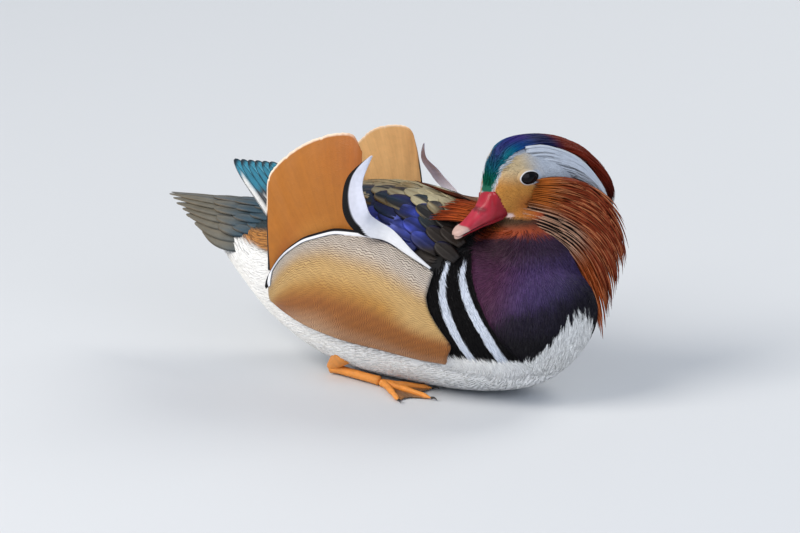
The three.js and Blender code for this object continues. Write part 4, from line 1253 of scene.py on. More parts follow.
def makePrimaries(side):
    count, sunk = primaries["count"], primaries["sunk"]
    inner = np.linspace(0, 1, count)[:, None]
    root = blend(*(np.array(p, float) for p in primaries["roots"]), inner)
    tip = blend(*(np.array(p, float) for p in primaries["tips"]), inner)
    if side > 0:
        tip = tip + np.stack([sunk[0] * (1 - inner[:, 0]), 0 * inner[:, 0], -sunk[1] + 0 * inner[:, 0]], -1)
    v = alongVane(primaries["rows"])
    outward = np.array(primaries["outward"], float)
    spine = blend(root[:, None], tip[:, None], v[None, :, None])
    spine = spine + outward * (0.35 * np.arange(count) * 5 / count - 0.7)[:, None, None]
    spine[..., 2] += primaries["arch"] * np.sin(np.pi * v)
    spine[..., 1] *= side
    outs = np.broadcast_to(unit(outward * [1, side, 1]), spine.shape)

    def paint(across, lengthwise, points):
        # white on the outer edge, a teal tip with a dark margin, grey-brown between
        outer = across * side
        rim = np.maximum(soft(0.93, 0.975, lengthwise), 0.9 * (np.abs(across) < 0.03))
        reach = np.where(np.arange(count) == 0, 0.86, 0.6)[:, None, None]
        return over(
            plain(primaries["vane"], points[..., 0]), primaries,
            ("teal", soft(0.62, 0.72, lengthwise) * soft(0.46, 0.36, np.abs(across))),
            ("edge", rim * soft(0.5, 0.6, lengthwise)),
            ("white", soft(0.12, 0.2, outer) * soft(0.07, 0, lengthwise + 0.15 * outer - reach)))

    made = feathers("primaries" + sideNames[side][0], spine, outs, primaries["wide"], primaries["thick"], vaneRing,
                    rounded, paint, v, cup=0.03, atlas=True)
    dress(made, looks["gloss"], "wing_gloss")


for side in (1, -1):
    makeWingPad(side)
    makeWingVanes(side)
    makePrimaries(side)
print("wings")


# The sails, each one broad vane, and the white crescents in front of them

sail = {
    "front": {1: -20, -1: -12}, "rear": -70, "thick": 0.7, "low": 41, "high": 25, "from": 50, "to": 141,
    "behind": 1.5, "cells": (150, 60),
    # from the front to the rear corner: x, z
    "edge": {1: [(-21, 127), (-24.5, 134.2), (-37, 133.6), (-49, 129), (-60, 120), (-71, 107), (-72.5, 88),
                 (-71, 59)],
             -1: [(-19, 133), (-27, 141.5), (-42, 139.5), (-59.5, 131), (-73, 119.5), (-79, 108.5), (-77, 88),
                  (-73.5, 59)]},
    "bulge": 0.6, "lineFrom": 90, "rimWide": 1.5, "lineWide": 1.9,
    # inner, the inside face's colour, is paler as painted light coming through the vane
    "orange": (162, 98, 28), "rust": (148, 76, 16), "pale": (178, 118, 48), "inner": (228, 180, 122),
    "rim": (246, 226, 204), "line": (18, 16, 22),
    "notches": ((0.33, 1.0), (0.52, 0.8), (0.7, 1.0)),
}
sailEdge = {side: through(rows) for side, rows in sail["edge"].items()}


def sailPoint(side, u, v, lift):
    x = blend(sail["front"][side], sail["rear"], u)
    root = torsoPoint(x, side * (flankAngle(x) - sail["behind"]), -2)
    edge = sailEdge[side](u)
    lean = np.clip((edge[..., 1] - sail["from"]) / (sail["to"] - sail["from"]), 0, 2)
    end = np.stack([edge[..., 0], side * blend(sail["low"], sail["high"], lean ** 1.5), edge[..., 1]], -1)
    middle = blend(root, end, 0.45)
    middle[..., 1] = blend(root[..., 1], end[..., 1], 0.12) + side * sail["bulge"]
    notch = sum(depth * np.exp(-((u - at) / 0.006) ** 2) for at, depth in sail["notches"])
    v = v * (1 - notch * soft(0.9, 1, v) / 80 - 0.004 * (1 + ripple(u * 90, 3, 1)) * soft(0.96, 1, v))
    w = v[..., None]
    p = (1 - w) ** 2 * root + 2 * w * (1 - w) * middle + w ** 2 * end
    thin = lift * blend(1, 0.35, soft(0.85, 1, v))
    wave = 0.25 * np.sin(u * 40 + 5 * v) * soft(0.1, 0.6, v)
    return p + np.stack([0 * u, side * (thin + wave), 0.25 * thin], -1)


def sailColour(u, v, p, shown):
    outside = shown > 0
    rust = soft(0.5, 0, u) * soft(0.3, 0.8, v) + 0.8 * soft(0.5, 0.1, v) * soft(0.5, 0.9, u)
    # painted light: the inside face is paler and less rusty, for light coming through the vane
    colour = over(
        plain(sail["orange" if outside else "inner"], u), sail,
        ("rust", (0.75 if outside else 0.25) * np.clip(rust, 0, 1)),
        ("pale", 0.5 * soft(0.35, 0.1, v) * soft(0.2, 0.6, u) * soft(0.95, 0.6, u)))
    streak = 1 + 0.05 * ripple(u * 150, v * 2, 2) + 0.04 * ripple(u * 37, v * 3, 1)
    # a pale rim over the top and down the rear edge, where it turns black below
    toRim = np.linalg.norm(p - p[-1:], axis=-1)
    lower = soft(3, -2, p[..., 2] - sail["lineFrom"]) * soft(0.4, 0.6, u)
    rim = soft(sail["rimWide"], 0.5, toRim) * soft(0.05, 0.25, u) * (1 - lower)
    black = np.maximum(soft(sail["lineWide"], 1.2, toRim) * lower, soft(0.014, 0.007, u) * soft(0.8, 0.6, v))
    return over(colour * streak[..., None], sail, ("rim", rim if outside else 0.6 * rim), ("line", black))


crescent = {
    # x, and degrees above the flank's edge
    "onBack": ((38, 0.2), (23, 1.2), (7, 3.6)),
    "free": [(-5, 46.5, 98.5), (-12, 45.5, 109), (-15.5, 39, 120), (-10, 30, 133)],
    "widths": [1.2, 4.4, 9.5, 17, 12, 0.8], "lift": 4.2, "thick": 0.5, "cells": (24, 90),
    # by side: the share by which it is lower above the height, its share of the width, and its shift forward
    "lowered": {1: 0.11, -1: 0}, "above": 60, "share": {1: 0.4, -1: 1}, "ahead": {1: -6.5, -1: 0},
    # inner, the inside face's colour, is near white as painted light against the shade it lies in
    "white": (202, 206, 222), "lowWhite": (214, 216, 221), "inner": (252, 246, 255), "black": (5, 5, 8),
}
crescentLine = through([tuple(torsoPoint(x, flankAngle(x) - above, crescent["lift"]))
                        for x, above in crescent["onBack"]] + crescent["free"])
crescentWidth = through([(wide,) for wide in crescent["widths"]])


def crescentPoint(side, u, v, lift):
    tangent = unit(crescentLine(np.minimum(v + 0.01, 1)) - crescentLine(np.maximum(v - 0.01, 0)))
    out = np.stack([0 * v, 1 + 0 * v, 1.1 * soft(0.6, 0.2, v)], -1)
    across = unit(np.cross(out, tangent))
    part = u - 0.5
    bulge = lift + 0.9 * (1 - (2 * part) ** 2) + 0.3
    width = part * crescentWidth(v)[..., 0] * crescent["share"][side]
    p = crescentLine(v) - across * width[..., None] + unit(out) * bulge[..., None]
    ahead = crescent["ahead"][side] * soft(0.4, 0.65, v)
    lower = (p[..., 2] - crescent["above"]) * crescent["lowered"][side]
    return np.stack([p[..., 0] + ahead, side * p[..., 1], p[..., 2] - lower], -1)


def crescentColour(u, v, p, shown):
    # painted light: the inside face is brighter to offset its shade
    colour = plain(crescent["white" if shown > 0 else "inner"], u)
    colour = toward(colour, crescent["lowWhite"], soft(0.6, 0.35, v))
    shade = 1 - 0.12 * soft(0.45, 0.75, v) * soft(0.1, 0.5, u) + 0.04 * ripple(u * 12, v * 60, 1)
    margin = 0.34 * soft(0.42, 0.5, v) * soft(1.0, 0.8, v) * (shown > 0)
    black = soft(-0.02, 0.02, u - 1 + margin) * (margin > 0.01)
    return toward(colour * shade[..., None], crescent["black"], black)


for side, (name, end) in sideNames.items():
    made = slab("sail" + name, lambda u, v: sailPoint(side, u, v, sail["thick"]),
                lambda u, v: sailPoint(side, u, v, 0), sail["cells"], sailColour)
    dress(made, looks["sail"], "sail_orange", "sail_" + end)
    made = slab("crescent" + name, lambda u, v: crescentPoint(side, u, v, crescent["thick"]),
                lambda u, v: crescentPoint(side, u, v, 0), crescent["cells"], crescentColour)
    dress(made, looks["scapular"], "white_scapular", "crescent_" + end)
print("sails and crescents")


# The ruff, in tiers of long hackles, the shorter ones nearest the face on top

ruff = {
    "left": {"root": [(26, 17, 8), (21, 16.5, -6), (15, 13, -17)],
             "middle": [(52, 22, 0), (50, 25, -22), (42, 24.5, -37)],
             "tip": [(71, 16, -27), (66, 20, -51), (57, 24, -75)]},
    "right": {"root": [(27, -17, 2), (21, -17.5, -7), (12, -17, -12)],
              "middle": [(52, -20, -10), (36, -34, -17), (6, -32, -11)],
              "tip": [(74, -16, -33), (40, -46, -26), (-6, -49, -6.5)]},
    # count, where each starts and ends along the fan, how far it lies out, width
    "tiers": [(76, 0.34, 1.05, -0.3, 2.6), (70, 0.24, 0.94, 0.7, 2.5), (64, 0.12, 0.8, 1.5, 2.3),
              (60, 0.03, 0.64, 2.1, 2.1), (56, -0.03, 0.46, 2.6, 1.8), (50, -0.05, 0.3, 3.0, 1.5)],
    "rows": 12, "thick": 0.55, "seed": 51,
    "rust": (124, 40, 12), "dark": (36, 10, 4), "shaft": (214, 140, 92), "pale": (188, 146, 120),
    "gold": (184, 84, 26), "root": (178, 100, 36), "night": (20, 8, 6), "bright": 0.45,
}


def ruffPoint(rows, fan, along):
    lines = [arch(*(np.array(p, float) for p in rows[key]), fan[..., None]) for key in ("root", "middle", "tip")]
    return fromHead(*np.moveaxis(arch(*lines, along[..., None]), -1, 0))


def makeRuff(side):
    key = sideNames[side][1]
    rng = np.random.default_rng(ruff["seed"])
    found = []
    for count, start, end, lift, wide in ruff["tiers"]:
        found.append([
            (np.arange(count) + 0.5 + rng.uniform(-0.45, 0.45, count)) / count * 1.14 - 0.02,
            start + rng.uniform(-0.02, 0.02, count), end * rng.uniform(0.93, 1.05, count),
            lift + rng.uniform(-0.3, 0.3, count), wide * rng.uniform(0.85, 1.15, count),
            (np.arange(count) + 0.7 * rng.random(count)) % 3 < 1.5])
    fan, start, end, lift, wide, turn = (np.concatenate(values)[:, None] for values in zip(*found))
    v = np.linspace(0, 1, ruff["rows"])
    end = end + 0.12 * rng.random(end.shape) ** 2 * soft(0.5, 0.2, fan) * (end > 0.9)
    along = blend(start, end, v)
    stray = rng.normal(0, 1, fan.shape) * v ** 2 * (0.018 + 0.05 * soft(0.5, 0.1, fan) + 0.03 * (end > 1.04))
    spine = ruffPoint(ruff[key], np.clip(fan + stray, -0.12, 1.15 if side > 0 else 1.07), along)
    out = headDirection(0, side, 0.15)
    lift = lift * (1 - 0.5 * along) - 2.6 * (1 - v) ** 3 + 0.7 * np.sin(np.pi * v)
    if side > 0:
        lift = lift + 4.6 * soft(0.6, 1, fan) * soft(0.8, 0.3, along)
    spine = spine + out * lift[..., None]
    fanAll, alongAll = fan[..., None], along[..., None]
    bright = 0.15 + 0.85 * (rng.random(fanAll.shape) < ruff["bright"])

    def paint(across, lengthwise, points):
        # rust with a light shaft; behind the cheek white, edged and crossed with black
        off = np.abs(across)
        streaked = soft(0.42, 0.62, fanAll - 0.25 * alongAll) * soft(0.62, 0.36, alongAll)
        colour = over(
            plain(ruff["rust"], points[..., 0]), ruff,
            ("gold", 0.7 * soft(0.82, 1, fanAll) * soft(0.25, 0.5, alongAll)),
            ("root", 0.8 * soft(0.24, 0.02, alongAll)),
            ("night", 0.9 * soft(0.16, 0.06, alongAll) * soft(0.74, 0.86, fanAll)),
            ("dark", 0.85 * soft(0.16, 0.44, off)))
        edged = np.maximum(0.6 * soft(0.1, 0.5, off), turn[..., None])
        near = toward(plain(ruff["pale"], points[..., 0]), ruff["night"], edged)
        shaft = bright * soft(0.24, 0.04, off) * (0.95 - 0.6 * soft(0.6, 1, lengthwise))
        shaft = shaft * soft(0.02, 0.15, alongAll)
        return toward(blend(colour, near, streaked[..., None]), ruff["shaft"], shaft * (1 - streaked))

    made = feathers("ruff" + sideNames[side][0], spine, np.broadcast_to(out, spine.shape), wide, ruff["thick"],
                    lockRing, tapered, paint, v, cup=0.08)
    dress(made, looks["rust"], "rust_hackle", "ruff_" + key)


hackles = {"count": 230, "x": (50, 24), "angles": ((-14, 20), (-25, 17)), "lift": (9.5, 7.5, 4.2), "wide": 1.4,
           "thick": 0.4, "rows": 10, "seed": 53}


def makeHackles():
    # the far side's hackles where they lie on the back, seen past the bill
    rng = np.random.default_rng(hackles["seed"])
    one = hackles["count"], 1
    v = np.linspace(0, 1, hackles["rows"])
    spot, start = rng.random(one), 0.45 * rng.random(one) ** 1.5
    s = start + v * (1 - start) * rng.uniform(0.8, 1.1, one)
    x = blend(*hackles["x"], s) + rng.uniform(-1, 1, one)
    angle = blend(*(blend(low, high, spot) for low, high in hackles["angles"]), s) + rng.normal(0, 1, one) * v
    lift = arch(*hackles["lift"], s) + rng.uniform(-0.7, 0.5, one) - 1.5 * (1 - v) ** 3
    spine, outs = lineAndOut(torsoPoint, x, angle, lift)
    tone = rng.uniform(0.55, 1.25, (*one, 1, 1))

    def paint(across, lengthwise, points):
        return tone * over(
            plain(ruff["gold"], points[..., 0]), ruff,
            ("rust", 0.25 + 0.5 * soft(0.3, 0.9, lengthwise)),
            ("dark", 0.85 * soft(0.16, 0.44, np.abs(across))))

    made = feathers("backHackles", spine, outs, hackles["wide"], hackles["thick"], lockRing, pointed, paint, v,
                    cup=0.06)
    dress(made, looks["rust"], "rust_hackle")


makeRuff(1)
makeRuff(-1)
makeHackles()
print("ruffs")


# The crest, a silky cap that droops behind the nape, and the white plumes under it

crest = {
    # behind, up, half width
    "line": [(2, 17.5, 9.5), (7, 25.5, 11), (17, 29.6, 12), (30, 29.6, 12), (44, 26, 11), (56, 20.5, 9),
             (65, 12, 7), (71, 2.5, 5.5), (73.5, -7, 4), (72.5, -17, 1)],
    "cap": 0.62, "capAround": 0.96, "count": 900, "wide": 1.2, "thick": 0.35, "rows": 8, "long": 0.3, "drop": 5,
    "settle": 1.4, "cells": (30, 60), "seed": 61,
}
crestRow = through(crest["line"])


def crestPoint(t, turn, lift):
    row, ahead, before = crestRow(t), crestRow(np.minimum(t + 0.02, 1)), crestRow(np.maximum(t - 0.02, 0))
    way = unit((ahead - before)[..., :2])
    turn = turn * blend(0.78, 1, soft(0.38, 0.62, t))
    fore = soft(0.46, 0.3, t)
    drop = (crest["drop"] + 1.8 * (1 - fore)) * turn ** 2 * row[..., 2] / 12 + crest["settle"] * fore - lift
    return fromHead(row[..., 0] + drop * way[..., 1], row[..., 2] * turn, row[..., 1] - drop * way[..., 0])


def makeCrest():
    def capPoint(u, v, lift):
        return crestPoint(crest["cap"] * v, crest["capAround"] * (2 * u - 1), lift)

    def deep(u, v):
        middle = 0.8 + 4.5 * np.sin(np.pi * np.minimum(0.95, crest["cap"] * v * 0.7 + 0.25))
        return 0.9 + middle * (1 - np.abs(2 * u - 1) ** 3)

    # the cap, seen between the plumes, is painted darker as shade under them
    cap = slab("crestCap", lambda u, v: capPoint(u, v, -0.4 - 1.2 * soft(0.1, 0, v)),
               lambda u, v: capPoint(u, v, -deep(u, v)), crest["cells"],
               lambda u, v, p, shown: crownColour(*toHead(p)) * 0.8)
    dress(cap, looks["crown"], "crown_gloss", "crest")
    rng = np.random.default_rng(crest["seed"])
    count = crest["count"]
    start = np.sort(rng.uniform(-0.05, 0.78, count))[:, None]
    turn = rng.uniform(-1, 1, count)[:, None]
    turn = np.sign(turn) * np.abs(turn) ** 0.85
    v = np.linspace(0, 1, crest["rows"])
    long = crest["long"] * rng.uniform(0.7, 1.15, count)[:, None]
    t = np.clip(start + v * long, 0, 1.0) - 0.05 * (start > 0.6) * rng.uniform(0, 1, (count, 1)) * v
    under = rng.uniform(0, 1, (count, 1)) * soft(0.55, 0.75, t) * 3.6
    lift = -0.5 + 1.1 * v ** 0.7 * soft(0, 0.1, start) + rng.uniform(-0.3, 0.3, (count, 1)) - under
    spine, outs = lineAndOut(crestPoint, t, turn * (1 - 0.12 * v), lift)
    tone = rng.uniform(0.75, 1.3, (count, 1, 1, 1))
    made = feathers("crestPlumes", spine, outs, crest["wide"] * rng.uniform(0.8, 1.3, count), crest["thick"],
                    tuftRing, pointed, lambda across, lengthwise, p: crownColour(*toHead(p)) * tone, v, cup=0.05)
    dress(made, looks["crown"], "crown_gloss", "crest")


brow = {
    "line": [(21, 13.4, 17), (32, 13.6, 17), (43, 13.2, 13.4), (52, 12.8, 8.6), (60, 11.2, 0.6), (66, 9.2, -8),
             (68, 7.5, -14)],
    "count": 260, "spread": 8.5, "wide": 2.2, "thick": 0.2, "rows": 9, "long": 0.5, "seed": 71,
}


def makeBrow(side):
    rng = np.random.default_rng(brow["seed"])
    start = rng.uniform(0, 0.6, brow["count"])[:, None]
    v = np.linspace(0, 1, brow["rows"])
    s = np.clip(start + v * brow["long"] * rng.uniform(0.8, 1.15, start.shape), 0, 1)
    level = rng.uniform(-1, 1, start.shape)
    row = through(brow["line"])(s)
    offset = brow["spread"] * (level * (1 - 0.6 * s ** 2) + 0.08)
    sunk = 2 * (1 - v) ** 3 + 1.4 * soft(0.3, 0.1, s)
    out = row[..., 1] + 0.4 + 0.6 * np.sin(np.pi * v) - sunk
    out = out + rng.uniform(-0.15, 0.15, start.shape) - 0.12 * np.abs(offset)
    spine = fromHead(row[..., 0] - 0.25 * offset, side * out, row[..., 2] + 0.9 * offset)
    outs = np.broadcast_to(headDirection(0, side, 0.1), spine.shape)

    def paint(across, lengthwise, points):
        return plain(face["white"], points[..., 0]) * (0.95 + 0.05 * lengthwise - 0.08 * np.abs(across))[..., None]

    made = feathers("browPlumes" + sideNames[side][0], spine, outs, brow["wide"], brow["thick"], lockRing, pointed,
                    paint, v, cup=0.02)
    dress(made, looks["face"], "pale_face")


makeCrest()
makeBrow(1)
makeBrow(-1)
print("crest and plumes")


# Eyes and lids

eyeLook = {"iris": (14, 9, 12), "pupil": (3, 4, 8), "lid": (30, 24, 22), "pale": (206, 206, 208),
           "rings": 40, "lidRings": 13, "around": 48, "lidThick": 0.75}


def makeEye(side):
    name, end = sideNames[side]
    polar = np.linspace(0, np.pi, eyeLook["rings"])[:, None]
    around = circle(eyeLook["around"])[None]
    long, deep, tall = eye["ball"]
    cap = 1 + 0.03 * np.exp(-(polar / 0.45) ** 2)
    points, faces = ringed(fromHead(
        eye["back"] + long * np.sin(polar) * np.cos(around), side * (eye["side"] + deep * cap * np.cos(polar)),
        eye["up"] + tall * np.sin(polar) * np.sin(around)))
    away = np.linalg.norm(points - fromHead(eye["back"], side * (eye["side"] + deep), eye["up"]), axis=-1)
    colours = toward(plain(eyeLook["pupil"], away), eyeLook["iris"], soft(2.2, 2.8, away) * soft(5.6, 4.2, away))
    dress(makeMesh("eye" + name, points, faces, colours, coverMaps(points)), looks["eye"], "eye", "eye_" + end)


def makeLids(side):
    # a closed band over the ball, from a dark rim at the opening out under the face's feathers
    t = circle(eyeLook["around"])[None]
    share = np.linspace(0, 1, eyeLook["lidRings"])[:, None]
    long, deep, tall = eye["ball"]
    run = np.cos(t) * (eye["long"] + 2 * share)
    rise = np.sin(t) * (eye["tall"] + 1.9 * share) * (1 - 0.12 * np.cos(t)) * (1 - 0.18 * np.cos(t) ** 4)
    depth = deep * np.sqrt(np.maximum(1 - (run / long) ** 2 - (rise / tall) ** 2, 0.02)) + 0.4 * (1 - share)
    outer, inner = (fromHead(eye["back"] + run, side * (eye["side"] + depth - under), eye["up"] + rise)
                    for under in (0, eyeLook["lidThick"]))
    loop = np.concatenate([outer, inner[::-1]])
    count, k = loop.shape[:2]
    grid = np.arange(count * k).reshape(count, k)
    nextRing = np.roll(grid, -1, axis=0)
    quads = np.stack([grid, np.roll(grid, -1, axis=1), np.roll(nextRing, -1, axis=1), nextRing], -1).reshape(-1, 4)
    colours = toward(plain(eyeLook["lid"], run), eyeLook["pale"], soft(0.06, 0.16, share))
    # out under the face's feathers the lid takes the plumage colour, darkened as painted shade
    colours = blend(colours, 0.75 * plumage(outer), soft(0.26, 0.38, share)[..., None])
    lids = makeMesh("lids" + sideNames[side][0], loop, [quads], np.concatenate([colours, colours[::-1]]),
                    {"OFBake": bakePatch(loop.reshape(-1, 3))})
    dress(lids, looks["lid"], "pale_face")


def eyeMaterial(name):
    material, tree, shader, painted = startPainted(name, {
        "Roughness": 0.12, "Specular IOR Level": 0.1, "Coat Weight": 0.06, "Coat Roughness": 0.03})
    specks = useGroup(tree, mottle, {"Scale": 900.0, "Contrast": 0.6})
    tree.links.new(scaleColour(tree, painted, specks["Shade"]), shader.inputs["Base Color"])
    return material


looks["lid"] = hornMaterial("lidSkin", {"mottle": 900.0, "contrast": 0.15, "rough": 0.55, "bump": 0.2})
looks["eye"] = eyeMaterial("wetEye")
for side in (1, -1):
    makeEye(side)
    makeLids(side)


# Bill: the upper half with nail and nostrils, and the lower half under its cutting edge

bill = {
    # station: distance ahead of the culmen's root, culmen, cutting edge, half width
    "stations": [(-10, -7, -11.4, 0.4), (-8.5, -4, -11.8, 7.6), (0, 1.2, -13.8, 7.9), (5, -5.6, -15.2, 6.5),
                 (10, -10.8, -16.9, 5.5), (15, -14.8, -18.5, 5), (19, -17.0, -19.9, 4.6), (21.5, -18.8, -21.2, 3),
                 (22.6, -20.2, -20.8, 0.4)],
    "rings": 110, "around": 72, "lower": {"deep": 3.4, "shallow": 1.3, "inset": 0.7, "drop": 0.75},
    # the pink is the colour of a painted highlight along the top of the bill
    "red": (150, 8, 32), "dark": (78, 4, 16), "pink": (184, 46, 68), "nail": (190, 158, 148),
    "mouth": (50, 12, 18),
    "lowerColour": (150, 34, 44), "nostril": (6.5, -8.2), "roll": 0.24,
}
billRow = through(bill["stations"])


def headHalf(back, up):
    # half width of the head's own form
    at = np.interp(back, headRow(torsoSteps)[:, 0], torsoSteps)
    row = headRow(at)
    middle, tall = (row[..., 1] + row[..., 2]) / 2, (row[..., 1] - row[..., 2]) / 2
    level = np.clip(np.abs(up - middle) / tall, 0, 1)
    return row[..., 3] * (1 - level ** head["power"]) ** (1 / head["power"])


def makeBill():
    along, angle = betweenPoles(bill["rings"]), circle(bill["around"])[None]
    row = billRow(along)
    ahead, culmen, edge, half = (row[..., i] for i in range(4))
    out, up = superPoint(angle, 2.7)
    ridge = np.where(up > 0, np.abs(up) ** blend(0.95, 1.35, soft(-1, 12, ahead)), 0.12 * up)
    y, z = half * out, edge + ridge * (culmen - edge)
    x = ahead + 0 * y
    atX, atZ = bill["nostril"]
    hollow = np.hypot((x - atX) / 2.3, z - atZ)
    y = y - np.sign(y) * 0.75 * soft(1.15, 0.5, hollow) * (np.abs(y) > 1.5)
    y = y + np.sign(out) * 0.28 * soft(0.25, 0.02, np.abs(up)) * soft(-6, 0, x) * soft(21, 17, x)
    # behind the culmen's root the sides lie on the cheek, up to the edge of the feathers
    shows = soft(0.8, -0.4, -x - tabled(z, face["margin"])) * soft(1.5, 0, x)
    reach = (headHalf(-x, z) + 0.3) * shows
    y = np.where(np.abs(out) > 0.4, np.sign(out) * np.maximum(np.abs(y), reach), y)
    nail = soft(17.3, 18.4, x + 0.10 * y ** 2) * soft(-0.2, 0.3, up)
    z = z + 0.35 * nail + bill["roll"] * soft(12, 2, x) * soft(-11, -4, z) * y
    # the fine comb along the cutting edge
    z = z + 0.1 * np.sin(x * 7.0) * soft(0.2, 0, np.abs(up)) * soft(16, 12, x)

    def byPoint(values):
        values = values + 0 * x
        return np.concatenate([[values[0].mean()], values[1:-1].ravel(), [values[-1].mean()]])

    def finish(name, x, y, z, first, node, *layers):
        points, faces = ringed(fromHead(-x, y, z))
        colour = over(plain(bill[first], points[:, 0]), bill, *layers)
        dress(makeMesh(name, points, faces, colour, {"OFBake": bakePatch(points)}), looks["bill"], "bill", node)

    spots = soft(0.35, 0.8, ripple(x * 1.6, z * 2.2, y)) * soft(4, 2.2, np.hypot(x - 7, z + 8.5))
    finish("billUpper", x, y, z, "red", "bill_upper",
           # painted highlight: pink along the top of the bill
           ("pink", 0.55 * byPoint(soft(0.3, 0.9, up) * soft(1, 6, x) + 0.4 * ripple(x / 2, y / 2, z / 2))),
           ("dark", 0.7 * byPoint(soft(1.5, 0.8, hollow)) + 0.55 * byPoint(soft(0.2, 0.0, np.abs(up)))),
           ("dark", 0.35 * byPoint(soft(1.0, -6, x))),
           ("dark", 0.5 * byPoint(spots)),
           ("nail", byPoint(soft(16.9, 18.6, x + 0.10 * y ** 2))))
    low = bill["lower"]
    out, up = superPoint(angle, 2.2)
    depth = blend(low["deep"], low["shallow"], along)
    fall = np.where(up > 0, 0.15 * up, depth * up * np.minimum(1, 4 * np.sin(along * np.pi)))
    y = np.maximum(half - low["inset"], 0.2) * out
    x = ahead - low["inset"] + 0 * y
    finish("billLower", x, y, edge - low["drop"] + fall, "lowerColour", "bill_lower",
           ("mouth", byPoint(soft(-0.15, 0.1, up))), ("nail", byPoint(soft(18, 20, x))))


looks["bill"] = hornMaterial("billHorn", {
    "mottle": 420.0, "contrast": 0.35, "rough": 0.44, "bump": 0.3, "coat": 0.15, "specular": 0.3})
makeBill()
print("eyes and bill")


# Tail: a fan of rectrices with two tiers of coverts over its root

tail = {
    "root": -98, "length": 72, "wedge": 0.6, "ridge": 83.5, "lift": -4.5, "drop": 19, "thick": 0.8, "rows": 22,
    "seed": 81,
    # gloss is the colour of a painted blue-green sheen
    "olive": (108, 102, 88), "grey": (80, 90, 100), "gloss": (38, 70, 88), "dark": (50, 46, 44),
    "bronze": (128, 106, 74),
    # feathers, fan width, start, end, lift, width
    "tiers": [(14, 0.94, 0.12, 1.0, 0.9, 12.5), (9, 0.8, 0.02, 0.56, 2.0, 12), (8, 0.75, -0.12, 0.34, 3.0, 11),
              (7, 0.7, -0.26, 0.14, 3.4, 11)],
}


def tailPoint(fan, v, lift):
    length = tail["length"] * (1 - tail["wedge"] * np.abs(fan) ** 1.3)
    spread = blend(23, 31, np.sin(np.maximum(v, 0) * 2.2)) * (1 - 0.25 * v)
    drop = tail["drop"] * np.abs(fan) ** 1.7 * (1 - 0.35 * v)
    return np.stack([tail["root"] - v * length, fan * spread, tail["ridge"] + tail["lift"] * v - drop + lift], -1)


def makeTail():
    rng = np.random.default_rng(tail["seed"])
    v = alongVane(tail["rows"])
    for number, (count, reach, start, end, lift, wide) in enumerate(tail["tiers"]):
        lowest = number == 0
        fan = np.linspace(-reach, reach, count)[:, None]
        fan = fan + rng.uniform(-0.02, 0.02, fan.shape)
        along = blend(start, end * rng.uniform(0.97, 1.02, fan.shape), v)
        stack = lift * (1 - 0.4 * v) - 1.9 * np.abs(fan) * lowest - 2.2 * (1 - v) ** 3
        stack = stack + 0.12 * (np.arange(count) % 2)[:, None]
        spine = tailPoint(fan * (1 - 0.06 * v), along, stack)
        outs = np.broadcast_to(unit(np.stack([0 * fan, fan, 1.3 + 0 * fan], -1)), spine.shape)

        def paint(across, lengthwise, points):
            outer = across * np.sign(fan)[..., None]
            # painted sheen: blue-green along the root half and the outer edge
            paintedSheen = soft(0.6, 0.1, along[..., None]) + 0.3 * soft(0.1, 0.4, outer)
            return over(
                plain(tail["olive"], points[..., 0]), tail,
                ("grey", 0.6 * soft(0.1, -0.3, outer)),
                ("gloss", np.clip(0.75 * paintedSheen, 0, 1) * (0.7 if lowest else 1)),
                ("bronze", 0.6 * soft(0.35, 0.48, np.abs(across)) * soft(0.4, 0.8, lengthwise)),
                ("dark", 0.7 * (np.abs(across) < 0.03) + 0.4 * soft(0.25, 0.0, lengthwise)))

        made = feathers(f"tailTier{number}", spine, outs, wide, tail["thick"], vaneRing,
                        lance if lowest else rounded, paint, v, cup=0.04, atlas=True)
        dress(made, looks["tail"], "tail_brown", *(["tail"] if lowest else []))


makeTail()
print("tail")


# Legs folded beside the keel, and webbed feet

leg = {
    "heel": (-42, 25, 3.6), "ankle": (-4, 31, 3.1), "knee": (-28, 30, 16), "shank": 2.5, "thigh": 7,
    # toes: turn outward in radians, length; they start behind the ankle
    "toes": ((-0.38, 30), (0.18, 40), (0.72, 34)), "toeBehind": 3.4,
    "webHeights": (0.7, 1.5), "webCells": (40, 24),
    "orange": (222, 142, 58), "web": (92, 74, 58), "claw": (36, 30, 28),
}


def tubeAlong(points, radii, around=16):
    tangent = unit(np.gradient(points, axis=0))
    sideways = unit(np.cross(tangent, [0.01, 0.02, 1.0]))
    upward = np.cross(sideways, tangent)
    t = circle(around)[None, :, None]
    return points[:, None] + radii[:, None, None] * (np.cos(t) * sideways[:, None] + np.sin(t) * upward[:, None])


def legColour(p, tall):
    return plain(leg["orange"], p[:, 0]) * (1 + 0.12 * ripple(p[:, 0] / 2, p[:, 1] / 2, p[:, 2] / tall))[:, None]


def legPiece(name, forms, colourOf, *nodes):
    points, faces = joinForms(forms)
    piece = makeMesh(name, points, faces, colourOf(points), {"OFBake": points[:, :2] / 200 + 0.5})
    dress(piece, looks["leg"], "leg_skin", *nodes)


